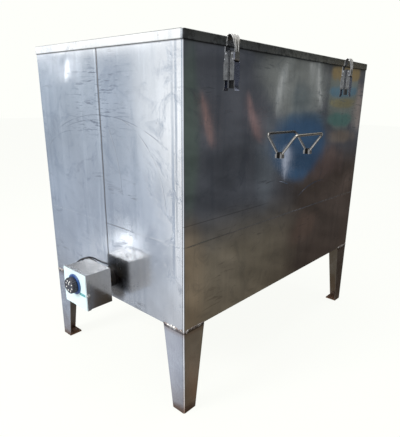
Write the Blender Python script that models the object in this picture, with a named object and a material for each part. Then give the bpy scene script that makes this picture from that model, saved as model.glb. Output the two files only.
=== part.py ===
"""A heated stainless-steel vat on four legs, for warming honey and melting wax out of frames.

Metres, +Z up. The origin is the point of the floor under the middle of the tank. The tank's long
side runs along X: the latches are on the front, at -Y, the lid's hinges on the rear, at +Y, the
thermostat on the left end, at -X, and the drain valve on the right end, at +X. Places on a long
wall are given as (out, z) and places on an end wall as (out, y, z), where out is the distance
outwards from that wall's outer face.
"""

import math

import bmesh
import bpy
from mathutils import Vector

# Driving dimensions
TANK_LENGTH = 0.838
TANK_WIDTH = 0.544
TANK_HEIGHT = 0.600  # from the tank's lower edge to the lid's lower edge
LEG_HEIGHT = 0.220
SHEET = 0.0015  # thickness of the tank's and the lid's sheet
BEND = 0.004  # outer radius of the tank's upright bends
GAP = 0.0003  # left between pieces that touch
LEDGE_HEIGHT = 0.200  # of the false floor's ledge over the tank's lower edge
END_REACH = 0.1155  # how far the knob and the drain spout stand out from the two ends

HALF_X = TANK_LENGTH / 2
HALF_Y = TANK_WIDTH / 2
TANK_BOTTOM = LEG_HEIGHT
RIM_BOTTOM = TANK_BOTTOM + TANK_HEIGHT  # lower edge of the lid

# Lid
RIM_DEPTH = 0.018
LID_CLEARANCE = 0.0008  # between the tank's wall and the lid's rim
LID_RISE = 0.003  # of the lid's cross-broken middle over its edges
LID_EDGE = 0.001
LID_TOP = RIM_BOTTOM + RIM_DEPTH
LID_OUT = LID_CLEARANCE + SHEET
GASKET_THICK = 0.0034
WALL_TOP = LID_TOP - SHEET - 2 * GAP - GASKET_THICK
FLANGE_WIDTH = 0.015

# Inside the tank
INNER_X = HALF_X - SHEET - GAP
INNER_Y = HALF_Y - SHEET - GAP
INNER_CORNER = BEND - SHEET - GAP
SMALL_CORNER = 0.0005
FLOOR_TOP = TANK_BOTTOM + 0.003
LEDGE_TOP = TANK_BOTTOM + LEDGE_HEIGHT
LEDGE_WIDTH = 0.018
RAIL_TOP = 0.760
RAIL_WIDTH = 0.044
SLOTS, SLOT_PITCH = 5, 0.084  # in the false floor
SLOT_LENGTH, SLOT_WIDTH = 0.700, 0.024
FLOOR_PLAY = 0.002

# Legs
LEG_SHEET = 0.002
LEG_TOP_WIDTH = 0.067
LEG_FOOT_WIDTH = 0.038
FOOT_THICK, FOOT_PLAY = 0.004, 0.0008

# Carrying handles
HANDLE_SPREAD = 0.072  # from the middle to each leg of the bar
HANDLE_ROD = 0.0035
HANDLE_GRIP = (0.043, 0.636)
HANDLE_SEAT = (0.0070, 0.5885)
HANDLE_BEND = 0.012  # of the bar's middle line
FOOT_OUT, FOOT_HALF = 0.010, 0.0065
HANDLE_FOOT_LOW, HANDLE_FOOT_HIGH = 0.577, 0.592

# Latches
LATCH_X = 0.277
LATCH_PIVOT = (0.008, 0.807)
LATCH_HOOK_PIN = (0.0105, 0.7965)
PIVOT_RADIUS, HOOK_PIN_RADIUS = 0.0018, 0.0015
LATCH_BORE_REACH = 0.020  # of a cutter to each side of the latch's middle
LEVER_HALF, LEVER_SHEET = 0.0095, 0.0012
EAR_HALF = 0.0080
BASE_HALF = 0.0100
BASE_LOW, BASE_HIGH = 0.740, 0.813
LEVER_FACE = 0.0136  # out to the middle of the lever's outer plate
LEVER_FACE_TOP, LEVER_FACE_LOW = 0.7905, 0.756

# Hinges
HINGE_X = 0.262
HINGE_HALF, HINGE_DROP = 0.030, 0.042
HINGE_BARREL, HINGE_PIN = 0.0040, 0.0022
HINGE_AXIS = (LID_OUT + HINGE_BARREL, RIM_BOTTOM - HINGE_BARREL)
LEAF = 0.0016

# Heater and thermostat, on the left end
BOX_Z = 0.2745
BOX_NEAR, BOX_FAR = 0.028, 0.098
BOX_WIDTH, BOX_HEIGHT = 0.096, 0.092
COVER_SHEET, BOX_SHEET = 0.0010, 0.0012
COVER_SKIRT = 0.010
DIAL_Z = BOX_Z + 0.0115
DIAL_RADIUS, KNOB_RADIUS, STEM_RADIUS = 0.0255, 0.0205, 0.003
STEM_HOLE = STEM_RADIUS + 0.0012
NECK_BORE = 0.0123
GLAND_OUT, GLAND_Z, GLAND_THREAD = 0.058, 0.262, 0.0080
LEAD_EXIT_Y, LEAD_EXIT_Z, LEAD_EXIT_BORE = 0.024, 0.2925, 0.0033
SOCKET_RADIUS, SOCKET_BORE = 0.026, 0.0200
SOCKET_OUT, SOCKET_IN = 0.0090, 0.0060  # how far the socket stands out of and into the tank
HEAD_NEAR, HEAD_FAR, HEAD_HEX = 0.0106, 0.0196, 0.027
NECK_RADIUS, SPIGOT_RADIUS = 0.015, 0.0120
SHANK_IN = 0.0080
ELEMENT_RADIUS, ELEMENT_SPREAD, ELEMENT_LENGTH = 0.0042, 0.0105, 0.420
WELL_Y, WELL_Z, WELL_OUT = 0.159, 0.238, 0.0065
WELL_RADIUS, WELL_LENGTH, COLLAR_RADIUS = 0.0040, 0.130, 0.0070
LEAD_RADIUS = 0.0022

# Drain, on the right end
DRAIN_Z = 0.246
DRAIN_RADIUS, DRAIN_BORE = 0.017, 0.012
VALVE_NEAR, VALVE_FAR = 0.0223, 0.0750
BALL_RADIUS, SEAT_RADIUS = 0.0145, 0.0154
BALL_BORE = 0.009
STEM_TOP, VALVE_STEM = 0.0300, 0.0042
LEVER_LENGTH, LEVER_THICK = 0.095, 0.0025

CUT_REACH = 0.03  # how far a drilling tool reaches past what it drills


# ---------------------------------------------------------------- materials


def material(name, colour, metallic, roughness):
    made = bpy.data.materials.new(name)
    made.use_nodes = True
    made.diffuse_color = (*colour, 1)
    shader = made.node_tree.nodes["Principled BSDF"]
    shader.inputs["Base Color"].default_value = (*colour, 1)
    shader.inputs["Metallic"].default_value = metallic
    shader.inputs["Roughness"].default_value = roughness
    return made


def make_materials():
    return {
        "tank_steel": material("tank_steel", (0.55, 0.57, 0.62), 1, 0.28),
        "leg_steel": material("leg_steel", (0.50, 0.50, 0.52), 1, 0.32),
        "inner_steel": material("inner_steel", (0.60, 0.61, 0.63), 1, 0.35),
        "bright_steel": material("bright_steel", (0.72, 0.72, 0.73), 1, 0.18),
        "brass": material("brass", (0.66, 0.52, 0.26), 1, 0.25),
        "box_steel": material("box_steel", (0.52, 0.52, 0.54), 1, 0.30),
        "white_plate": material("white_plate", (0.86, 0.92, 0.93), 0, 0.35),
        "blue_plastic": material("blue_plastic", (0.05, 0.16, 0.42), 0, 0.35),
        "black_plastic": material("black_plastic", (0.02, 0.02, 0.03), 0, 0.35),
        "cream_plastic": material("cream_plastic", (0.80, 0.76, 0.66), 0, 0.45),
        "black_rubber": material("black_rubber", (0.02, 0.02, 0.02), 0, 0.70),
        "silicone": material("silicone", (0.55, 0.20, 0.14), 0, 0.55),
    }


# ---------------------------------------------------------------- shape helpers


def add_object(name, bm, look, smooth=False):
    """The finished bmesh as a named object with its faces pointing out."""
    bmesh.ops.recalc_face_normals(bm, faces=bm.faces)
    if bm.calc_volume(signed=True) < 0:
        bmesh.ops.reverse_faces(bm, faces=bm.faces)
    mesh = bpy.data.meshes.new(name)
    bm.to_mesh(mesh)
    bm.free()
    if look:
        mesh.materials.append(look)
    if smooth:
        mesh.shade_smooth()
        mesh.set_sharp_from_angle(angle=math.radians(35))
    made = bpy.data.objects.new(name, mesh)
    bpy.context.scene.collection.objects.link(made)
    return made


def prism(name, outline, along, look):
    """The flat outline, pushed along a vector."""
    bm = bmesh.new()
    near = [bm.verts.new(p) for p in outline]
    far = [bm.verts.new(Vector(p) + Vector(along)) for p in outline]
    bm.faces.new(near)
    bm.faces.new(far[::-1])
    for i, start in enumerate(near):
        j = (i + 1) % len(near)
        bm.faces.new((start, far[i], far[j], near[j]))
    return add_object(name, bm, look)


def block(name, low, high, look, edge=0.0):
    """A box between two corners, with its edges broken by the given width."""
    (x0, y0, z0), (x1, y1, z1) = low, high
    outline = [(x0, y0, z0), (x1, y0, z0), (x1, y1, z0), (x0, y1, z0)]
    made = prism(name, outline, (0, 0, z1 - z0), look)
    if edge:
        bevel = made.modifiers.new("edges", "BEVEL")
        bevel.width = edge
        bevel.segments = 1
    return made


def loft(name, loops, look, closed=False, smooth=False):
    """A skin over loops of equally many points, capped at both ends or closed on itself."""
    bm = bmesh.new()
    rows = [[bm.verts.new(p) for p in loop] for loop in loops]
    pairs = list(zip(rows, rows[1:]))
    if closed:
        pairs.append((rows[-1], rows[0]))
    else:
        bm.faces.new(rows[0])
        bm.faces.new(rows[-1][::-1])
    for a, b in pairs:
        for i in range(len(a)):
            j = (i + 1) % len(a)
            bm.faces.new((a[i], b[i], b[j], a[j]))
    return add_object(name, bm, look, smooth)


def rounded_rectangle(half_x, half_y, radius, z, steps=2):
    loop = []
    for turn, (sx, sy) in enumerate(((1, 1), (-1, 1), (-1, -1), (1, -1))):
        centre = Vector((sx * (half_x - radius), sy * (half_y - radius), z))
        for i in range(steps + 1):
            angle = math.pi / 2 * (turn + i / steps)
            loop.append(centre + radius * Vector((math.cos(angle), math.sin(angle), 0)))
    return loop


def frame_ring(name, profile, look):
    """A frame that fits inside the tank's walls; the profile's points are (inset, z)."""
    loops = []
    for inset, z in profile:
        corner = max(INNER_CORNER - inset, SMALL_CORNER)
        loops.append(rounded_rectangle(INNER_X - inset, INNER_Y - inset, corner, z))
    return loft(name, loops, look, closed=True)


def plate(name, low, thick, play, look):
    """A flat plate that fits inside the tank's walls, with some play all round."""
    outline = rounded_rectangle(INNER_X - play, INNER_Y - play, INNER_CORNER, low)
    return prism(name, outline, (0, 0, thick), look)


def turned(name, profile, start, axis, look, sides=24, smooth=True):
    """A turned solid; the profile's (along, radius) points run from one end of it to the other."""
    axis = Vector(axis).normalized()
    across = axis.orthogonal().normalized()
    if abs(axis.z) < 0.5:
        across = Vector((0, 0, 1))
    third = axis.cross(across)
    bm = bmesh.new()
    rows = []
    for along, radius in profile:
        centre = Vector(start) + axis * along
        if radius == 0:
            rows.append([bm.verts.new(centre)])
            continue
        ring = []
        for i in range(sides):
            turn = 2 * math.pi * (i + 0.5) / sides
            ring.append(bm.verts.new(centre + radius * (math.cos(turn) * across + math.sin(turn) * third)))
        rows.append(ring)
    for a, b in zip(rows, rows[1:]):
        for i in range(sides):
            j = (i + 1) % sides
            corners = (a[i % len(a)], b[i % len(b)], b[j % len(b)], a[j % len(a)])
            bm.faces.new(tuple(dict.fromkeys(corners)))
    for row, cap in ((rows[0], slice(None)), (rows[-1], slice(None, None, -1))):
        if len(row) > 1:
            bm.faces.new(row[cap])
    return add_object(name, bm, look, smooth)


def rod(name, start, axis, length, radius, look, sides=16):
    return turned(name, [(0, radius), (length, radius)], start, axis, look, sides)


def rounded(points, radius, steps=4):
    """The open line of points with each inner corner rounded to an arc."""
    points = [Vector(p) for p in points]
    line = [points[0]]
    for before, corner, after in zip(points, points[1:], points[2:]):
        a, b = (before - corner).normalized(), (after - corner).normalized()
        half = a.angle(b) / 2
        reach = radius / math.tan(half)
        centre = corner + (a + b).normalized() * radius / math.sin(half)
        first, last = ((corner + side * reach - centre).normalized() for side in (a, b))
        line += [centre + radius * first.slerp(last, i / steps) for i in range(steps + 1)]
    return line + [points[-1]]


def wire(name, line, radius, look, resolution=2):
    """A round bar or lead along a line, with filled ends."""
    curve = bpy.data.curves.new(name, "CURVE")
    curve.dimensions = "3D"
    curve.bevel_depth = radius
    curve.bevel_resolution = resolution
    curve.use_fill_caps = True
    spline = curve.splines.new("POLY")
    spline.points.add(len(line) - 1)
    for point, place in zip(spline.points, line):
        point.co = (*place, 1)
    curve.materials.append(look)
    made = bpy.data.objects.new(name, curve)
    bpy.context.scene.collection.objects.link(made)
    return made


def through(points, steps):
    """A smooth line through the points, with steps stretches between each two."""
    ends = [2 * points[0] - points[1], *points, 2 * points[-1] - points[-2]]
    line = []
    for a, b, c, d in zip(ends, ends[1:], ends[2:], ends[3:]):
        for i in range(steps):
            t = i / steps
            bend, twist = 2 * a - 5 * b + 4 * c - d, 3 * b - 3 * c + d - a
            line.append(0.5 * (2 * b + (c - a) * t + bend * t**2 + twist * t**3))
    return line + [points[-1]]


def ribbon(name, stations, thick, place, look):
    """A bent strip across X; its stations are (out, z, half width) along the middle of its thickness."""
    loops = []
    for i, (out, z, half) in enumerate(stations):
        before, after = stations[max(i - 1, 0)], stations[min(i + 1, len(stations) - 1)]
        along = Vector((after[0] - before[0], after[1] - before[1])).normalized()
        side = Vector((-along.y, along.x)) * thick / 2
        corners = ((-half, side), (half, side), (half, -side), (-half, -side))
        loops.append([place(x, out + s.x, z + s.y) for x, s in corners])
    return loft(name, loops, look)


def as_tool(tool):
    tool.hide_render = True
    tool.hide_viewport = True
    tool.display_type = "WIRE"
    return tool


def drill(name, start, axis, radius, sides=16, length=2 * CUT_REACH):
    """A cutter for a round hole."""
    return as_tool(rod(name, start, axis, length, radius, None, sides))


def boolean(made, operation, tools):
    for tool in tools:
        step = made.modifiers.new(tool.name, "BOOLEAN")
        step.operation = operation
        step.solver = "EXACT"
        step.object = as_tool(tool)
    return made


def cut(made, *tools):
    return boolean(made, "DIFFERENCE", tools)


def join(made, *tools):
    return boolean(made, "UNION", tools)


def on_front(x, out, z):
    """A place on the front wall."""
    return Vector((x, -HALF_Y - out, z))


def on_rear(x, out, z):
    return Vector((x, HALF_Y + out, z))


def on_left(out, y, z):
    """A place on the left end wall."""
    return Vector((-HALF_X - out, y, z))


def on_right(out, y, z):
    return Vector((HALF_X + out, y, z))


# ---------------------------------------------------------------- tank


def tank_shell(name, side, look):
    """One of the two sheets, bent to a U, whose edges meet in the middle of both end walls."""
    seam = GAP / 2

    def bent(inset, radius):
        x, y = HALF_X - inset, HALF_Y - inset
        corners = [(-x, side * seam, 0), (-x, side * y, 0), (x, side * y, 0), (x, side * seam, 0)]
        return rounded(corners, radius)

    outline = bent(0, BEND) + bent(SHEET, BEND - SHEET)[::-1]
    outline = [(p.x, p.y, TANK_BOTTOM) for p in outline]
    shell = prism(name, outline, (0, 0, WALL_TOP - TANK_BOTTOM), look)
    holes = [
        ("heater", on_left(CUT_REACH, 0, BOX_Z), SOCKET_RADIUS, 32),
        ("drain", on_right(-CUT_REACH, 0, DRAIN_Z), DRAIN_RADIUS, 32),
    ]
    if side > 0:
        holes.append(("well", on_left(CUT_REACH, WELL_Y, WELL_Z), WELL_RADIUS, 16))
    for what, start, radius, sides in holes:
        cut(shell, drill(f"{name}_{what}_cut", start, (1, 0, 0), radius + GAP, sides))


def angle_profile(top, width, drop):
    """An angle against the wall as (inset, z) points: its level leg is on top."""
    under = top - SHEET
    return [(0, top), (width, top), (width, under), (SHEET, under), (SHEET, top - drop), (0, top - drop)]


def make_tank(looks):
    steel, inner = looks["tank_steel"], looks["inner_steel"]
    tank_shell("front_shell", -1, steel)
    tank_shell("rear_shell", 1, steel)
    plate("tank_floor", FLOOR_TOP - SHEET, SHEET, 0, inner)
    frame_ring("top_flange", angle_profile(WALL_TOP, FLANGE_WIDTH, FLANGE_WIDTH), inner)
    frame_ring("floor_ledge", angle_profile(LEDGE_TOP, LEDGE_WIDTH, LEDGE_WIDTH), inner)


def make_false_floor(looks):
    """The slotted plate that keeps the frames out of the water."""
    steel = looks["inner_steel"]
    floor = plate("false_floor", LEDGE_TOP + GAP, SHEET, FLOOR_PLAY, steel)
    for i in range(SLOTS):
        middle = (i - (SLOTS - 1) / 2) * SLOT_PITCH
        low = (-SLOT_LENGTH / 2, middle - SLOT_WIDTH / 2, LEDGE_TOP - CUT_REACH)
        high = (SLOT_LENGTH / 2, middle + SLOT_WIDTH / 2, LEDGE_TOP + CUT_REACH)
        cut(floor, block(f"floor_slot_cut_{i}", low, high, steel))


def make_frame_rails(looks):
    """Two angles along the long walls, which carry the lugs of hive frames."""
    for name, side in (("frame_rail_front", -1), ("frame_rail_rear", 1)):
        half = INNER_X - BEND
        section = angle_profile(RAIL_TOP, RAIL_WIDTH, FLANGE_WIDTH)
        outline = [(-half, side * (INNER_Y - inset), z) for inset, z in section]
        prism(name, outline, (2 * half, 0, 0), looks["inner_steel"])


def make_legs(looks):
    """Four legs of bent sheet that narrow to the floor, each with a foot plate inside its angle."""

    def section(width, z, sx, sy):
        outer = rounded([(width, 0, 0), (0, 0, 0), (0, width, 0)], BEND)
        corner = [(LEG_SHEET, width, 0), (LEG_SHEET, LEG_SHEET, 0), (width, LEG_SHEET, 0)]
        inner = rounded(corner, BEND - LEG_SHEET)
        return [(sx * (HALF_X - p.x), sy * (HALF_Y - p.y), z) for p in outer + inner]

    for depth, sy in (("front", -1), ("rear", 1)):
        for width, sx in (("left", -1), ("right", 1)):
            where = f"{depth}_{width}"
            loops = [
                section(LEG_FOOT_WIDTH, 0, sx, sy),
                section(LEG_TOP_WIDTH, LEG_HEIGHT - GAP, sx, sy),
            ]
            loft(f"leg_{where}", loops, looks["leg_steel"])
            near, far = LEG_SHEET + FOOT_PLAY, LEG_FOOT_WIDTH
            corners = ((near, near), (far, near), (far, far), (near, far))
            outline = [(sx * (HALF_X - a), sy * (HALF_Y - b), 0) for a, b in corners]
            prism(f"foot_plate_{where}", outline, (0, 0, FOOT_THICK), looks["leg_steel"])


def make_handle(where, place, looks):
    """A bent bar whose two legs rise from small feet on the wall and stand out from it."""
    seat, grip = Vector(HANDLE_SEAT), Vector(HANDLE_GRIP)
    rise = (grip - seat).normalized()
    start = seat + rise * GAP
    ends = [
        place(-HANDLE_SPREAD, *start),
        place(-HANDLE_SPREAD, *grip),
        place(HANDLE_SPREAD, *grip),
        place(HANDLE_SPREAD, *start),
    ]
    wire(f"handle_bar_{where}", rounded(ends, HANDLE_BEND, 5), HANDLE_ROD, looks["bright_steel"])
    slope = rise.x / rise.y
    foot = [
        (GAP, HANDLE_FOOT_LOW),
        (FOOT_OUT, HANDLE_FOOT_LOW),
        (FOOT_OUT, seat.y - (FOOT_OUT - seat.x) * slope),
        (seat.x - (HANDLE_FOOT_HIGH - seat.y) / slope, HANDLE_FOOT_HIGH),
        (GAP, HANDLE_FOOT_HIGH),
    ]
    for side, x in (("left", -HANDLE_SPREAD), ("right", HANDLE_SPREAD)):
        outline = [place(x - FOOT_HALF, *p) for p in foot]
        prism(f"handle_foot_{where}_{side}", outline, (2 * FOOT_HALF, 0, 0), looks["bright_steel"])


# ---------------------------------------------------------------- lid


def make_lid(looks):
    """A pan of folded sheet whose rim goes down over the tank, and the seal glued inside it."""
    x, y, radius = HALF_X + LID_OUT, HALF_Y + LID_OUT, BEND + LID_OUT
    under = LID_TOP - SHEET

    def loop(inset, z):
        return rounded_rectangle(x - inset, y - inset, radius - inset, z)

    bm = bmesh.new()
    loops = [
        loop(SHEET, under),
        loop(SHEET, RIM_BOTTOM),
        loop(0, RIM_BOTTOM),
        loop(0, LID_TOP - LID_EDGE),
        loop(LID_EDGE, LID_TOP),
    ]
    rows = [[bm.verts.new(p) for p in points] for points in loops]
    count = len(rows[0])
    for a, b in zip(rows, rows[1:]):
        for i in range(count):
            j = (i + 1) % count
            bm.faces.new((a[i], b[i], b[j], a[j]))
    for row, top in ((rows[0], under), (rows[-1], LID_TOP)):
        middle = bm.verts.new((0, 0, top + LID_RISE))
        for i in range(count):
            bm.faces.new((row[i], row[(i + 1) % count], middle))
    add_object("lid_pan", bm, looks["tank_steel"])

    seal_inset, seal_width = 0.0015, 0.011
    low, high = WALL_TOP + GAP, WALL_TOP + GAP + GASKET_THICK
    profile = [
        (seal_inset, high),
        (seal_inset + seal_width, high),
        (seal_inset + seal_width, low),
        (seal_inset, low),
    ]
    frame_ring("lid_seal", profile, looks["silicone"])


def make_hinge(where, x, looks):
    """A butt hinge: one leaf on the rear wall, one on the lid's rim, and the pin through both."""
    steel = looks["bright_steel"]
    out, z = HINGE_AXIS
    knuckle = 2 * HINGE_HALF / 3

    def barrel(name, start, length, radius):
        return rod(name, on_rear(start, out, z), (1, 0, 0), length, radius, steel)

    name = f"hinge_leaf_lid_{where}"
    leaf_near, leaf_far = LID_OUT + GAP, LID_OUT + GAP + LEAF
    leaf = block(
        name,
        on_rear(x - HINGE_HALF, leaf_near, z + HINGE_BARREL + GAP),
        on_rear(x + HINGE_HALF, leaf_far, LID_TOP - LID_EDGE),
        steel,
    )
    web = block(
        f"{name}_web",
        on_rear(x - knuckle / 2 + GAP, leaf_near, z),
        on_rear(x + knuckle / 2 - GAP, leaf_far, z + HINGE_BARREL + 2 * GAP),
        steel,
    )
    join(leaf, web, barrel(f"{name}_knuckle", x - knuckle / 2 + GAP, knuckle - 2 * GAP, HINGE_BARREL))
    cut(leaf, barrel(f"{name}_bore", x - knuckle, 2 * knuckle, HINGE_PIN + GAP))

    name = f"hinge_leaf_tank_{where}"
    low, high = on_rear(x - HINGE_HALF, GAP, z - HINGE_DROP), on_rear(x + HINGE_HALF, LEAF, z - HINGE_BARREL)
    leaf = block(name, low, high, steel)
    parts = []
    for side, start in (("a", x - HINGE_HALF), ("b", x + knuckle / 2)):
        low = on_rear(start, GAP, z - HINGE_BARREL - LEAF)
        high = on_rear(start + knuckle, out, z - HINGE_BARREL / 2)
        parts.append(block(f"{name}_web_{side}", low, high, steel))
        parts.append(barrel(f"{name}_knuckle_{side}", start, knuckle, HINGE_BARREL))
    join(leaf, *parts)
    cut(leaf, barrel(f"{name}_bore", x - 2 * HINGE_HALF, 4 * HINGE_HALF, HINGE_PIN + GAP))

    barrel(f"hinge_pin_{where}", x - HINGE_HALF - GAP, 2 * HINGE_HALF + 2 * GAP, HINGE_PIN)


# ---------------------------------------------------------------- latches


def arc_stations(centre, radius, first, last, steps, half):
    """Stations of a ribbon round a centre, from one angle to another in degrees."""
    made = []
    for i in range(steps + 1):
        angle = math.radians(first + (last - first) * i / steps)
        made.append((centre[0] + radius * math.cos(angle), centre[1] + radius * math.sin(angle), half))
    return made


def side_plate(name, x, outline, thick, look):
    """A plate across X, standing out from the front wall; the outline's points are (out, z)."""
    return prism(name, [on_front(x - thick / 2, *p) for p in outline], (thick, 0, 0), look)


def cross_pin(name, x, at, half, radius, look, sides=12):
    return rod(name, on_front(x - half, *at), (1, 0, 0), 2 * half, radius, look, sides)


def make_latch(where, x, looks):
    """A draw latch: base, pivot pin, lever, hook pin, and the hook that reaches over the lid's edge."""
    steel = looks["bright_steel"]
    pivot_out, pivot_z = LATCH_PIVOT
    pin_out, pin_z = LATCH_HOOK_PIN

    base = block(
        f"latch_base_{where}",
        on_front(x + BASE_HALF, GAP + SHEET, BASE_LOW),
        on_front(x - BASE_HALF, GAP, BASE_HIGH),
        steel,
    )
    margin = 0.0032  # of the ear round the pivot pin
    ear_reach, ear_low, ear_high = pivot_out + margin, pivot_z - margin - SHEET, pivot_z + margin + SHEET / 2
    ear = [(SHEET, ear_low), (ear_reach, ear_low), (ear_reach, ear_high), (SHEET, ear_high)]
    ear_x = EAR_HALF - LEVER_SHEET / 2
    ears = [
        side_plate(f"latch_ear_{where}_{side}", x + sign * ear_x, ear, LEVER_SHEET, steel)
        for side, sign in (("a", -1), ("b", 1))
    ]
    join(base, *ears)
    reach = LATCH_BORE_REACH
    cut(base, cross_pin(f"latch_ear_bore_{where}", x, LATCH_PIVOT, reach, PIVOT_RADIUS + GAP, steel))

    pin_half = LEVER_HALF + 0.0008
    cross_pin(f"latch_pivot_{where}", x, LATCH_PIVOT, pin_half, PIVOT_RADIUS, steel)

    eye, behind = 0.0042, 0.0030
    cheek = [
        (behind, LEVER_FACE_LOW),
        (LEVER_FACE, LEVER_FACE_LOW),
        (LEVER_FACE, LEVER_FACE_TOP),
        (LATCH_PIVOT[0] + eye, LEVER_FACE_TOP + 0.0020),
    ]
    cheek += [(o, z) for o, z, _ in arc_stations(LATCH_PIVOT, eye, 20, 200, 8, 0)]
    cheek.append((behind, pivot_z - 0.010))
    cheek_x = LEVER_HALF - LEVER_SHEET / 2
    lever = side_plate(f"latch_lever_{where}", x - cheek_x, cheek, LEVER_SHEET, steel)
    other = side_plate(f"latch_cheek_{where}", x + cheek_x, cheek, LEVER_SHEET, steel)
    tail_half = 0.0070
    face = ribbon(
        f"latch_face_{where}",
        [
            (LEVER_FACE, LEVER_FACE_TOP, LEVER_HALF),
            (LEVER_FACE, LEVER_FACE_LOW, LEVER_HALF),
            (LEVER_FACE, LEVER_FACE_LOW - 0.0010, tail_half),
            (LEVER_FACE - 0.0006, LEVER_FACE_LOW - 0.0080, tail_half),
            (LEVER_FACE - 0.0001, LEVER_FACE_LOW - 0.0150, tail_half),
            (LEVER_FACE + 0.0024, LEVER_FACE_LOW - 0.0210, tail_half),
        ],
        LEVER_SHEET,
        lambda a, out, z: on_front(x + a, out, z),
        steel,
    )
    join(lever, other, face)
    bores = [
        cross_pin(f"latch_lever_bore_{where}", x, LATCH_PIVOT, reach, PIVOT_RADIUS + GAP, steel),
        cross_pin(f"latch_hook_bore_{where}", x, LATCH_HOOK_PIN, reach, HOOK_PIN_RADIUS + GAP, steel),
    ]
    cut(lever, *bores)

    cross_pin(f"latch_hook_pin_{where}", x, LATCH_HOOK_PIN, pin_half, HOOK_PIN_RADIUS, steel)

    strap = 0.0012
    eye_radius = HOOK_PIN_RADIUS + GAP + strap / 2
    narrow, wide = 0.0078, 0.0113
    stations = arc_stations(LATCH_HOOK_PIN, eye_radius, 110, 360, 9, narrow)
    upright = pin_out + eye_radius
    stations += [(upright, pin_z + 0.0035, narrow), (upright, pin_z + 0.0200, 0.0074)]
    claw = [(0.0122, -0.0140, 0.0084), (0.0108, -0.0060, 0.0102)]
    arch = [(0.0086, 0.0008), (0.0050, 0.0050), (0.0008, 0.0060), (-0.0032, 0.0045), (-0.0068, 0.0013)]
    claw += [(out, over, wide) for out, over in arch]
    stations += [(out, LID_TOP + over, half) for out, over, half in claw]
    ribbon(f"latch_hook_{where}", stations, strap, lambda a, out, z: on_front(x + a, out, z), steel)


# ---------------------------------------------------------------- heater and thermostat


def make_heater(looks):
    """The screw-in immersion heater under the false floor, on the middle of the left end."""
    steel = looks["inner_steel"]
    inward = (1, 0, 0)
    far = on_left(CUT_REACH, 0, BOX_Z)
    length = SOCKET_OUT + SOCKET_IN
    socket = rod("heater_socket", on_left(SOCKET_OUT, 0, BOX_Z), inward, length, SOCKET_RADIUS, steel, 32)
    cut(socket, drill("heater_socket_bore", far, inward, SOCKET_BORE, 32))

    start, thick = on_left(HEAD_NEAR - GAP, 0, BOX_Z), HEAD_NEAR - 2 * GAP - SOCKET_OUT
    seal = rod("heater_seal", start, inward, thick, HEAD_HEX, looks["black_rubber"], 32)
    cut(seal, drill("heater_seal_bore", far, inward, SOCKET_BORE, 32))

    inside_box = BOX_NEAR + BOX_SHEET + 0.006
    spigot = inside_box - BOX_NEAR + GAP
    shank = SOCKET_BORE - GAP
    profile = [
        (0, SPIGOT_RADIUS),
        (spigot, SPIGOT_RADIUS),
        (spigot, NECK_RADIUS),
        (inside_box - HEAD_FAR, NECK_RADIUS),
        (inside_box - HEAD_FAR, shank),
        (inside_box + SHANK_IN, shank),
    ]
    head = turned("heater_head", profile, on_left(inside_box, 0, BOX_Z), inward, looks["brass"], 32)
    start, deep = on_left(HEAD_FAR, 0, BOX_Z), HEAD_FAR - HEAD_NEAR
    join(head, rod("heater_hexagon", start, inward, deep, HEAD_HEX, looks["brass"], 6))

    ends = [(-SHANK_IN - GAP, -1), (-ELEMENT_LENGTH, -1), (-ELEMENT_LENGTH, 1), (-SHANK_IN - GAP, 1)]
    corners = [on_left(out, side * ELEMENT_SPREAD, BOX_Z) for out, side in ends]
    nearly_round = 0.98 * ELEMENT_SPREAD
    wire("heater_element", rounded(corners, nearly_round, 12), ELEMENT_RADIUS, looks["bright_steel"], 3)

    mouth, edge = on_left(WELL_OUT - GAP, WELL_Y, WELL_Z), 0.001
    well = rod("sensor_well", mouth, inward, WELL_LENGTH, WELL_RADIUS, steel, 12)
    profile = [(0, COLLAR_RADIUS - edge), (edge, COLLAR_RADIUS), (WELL_OUT - 2 * GAP, COLLAR_RADIUS)]
    join(well, turned("sensor_well_collar", profile, mouth, inward, steel, 16))


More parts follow.
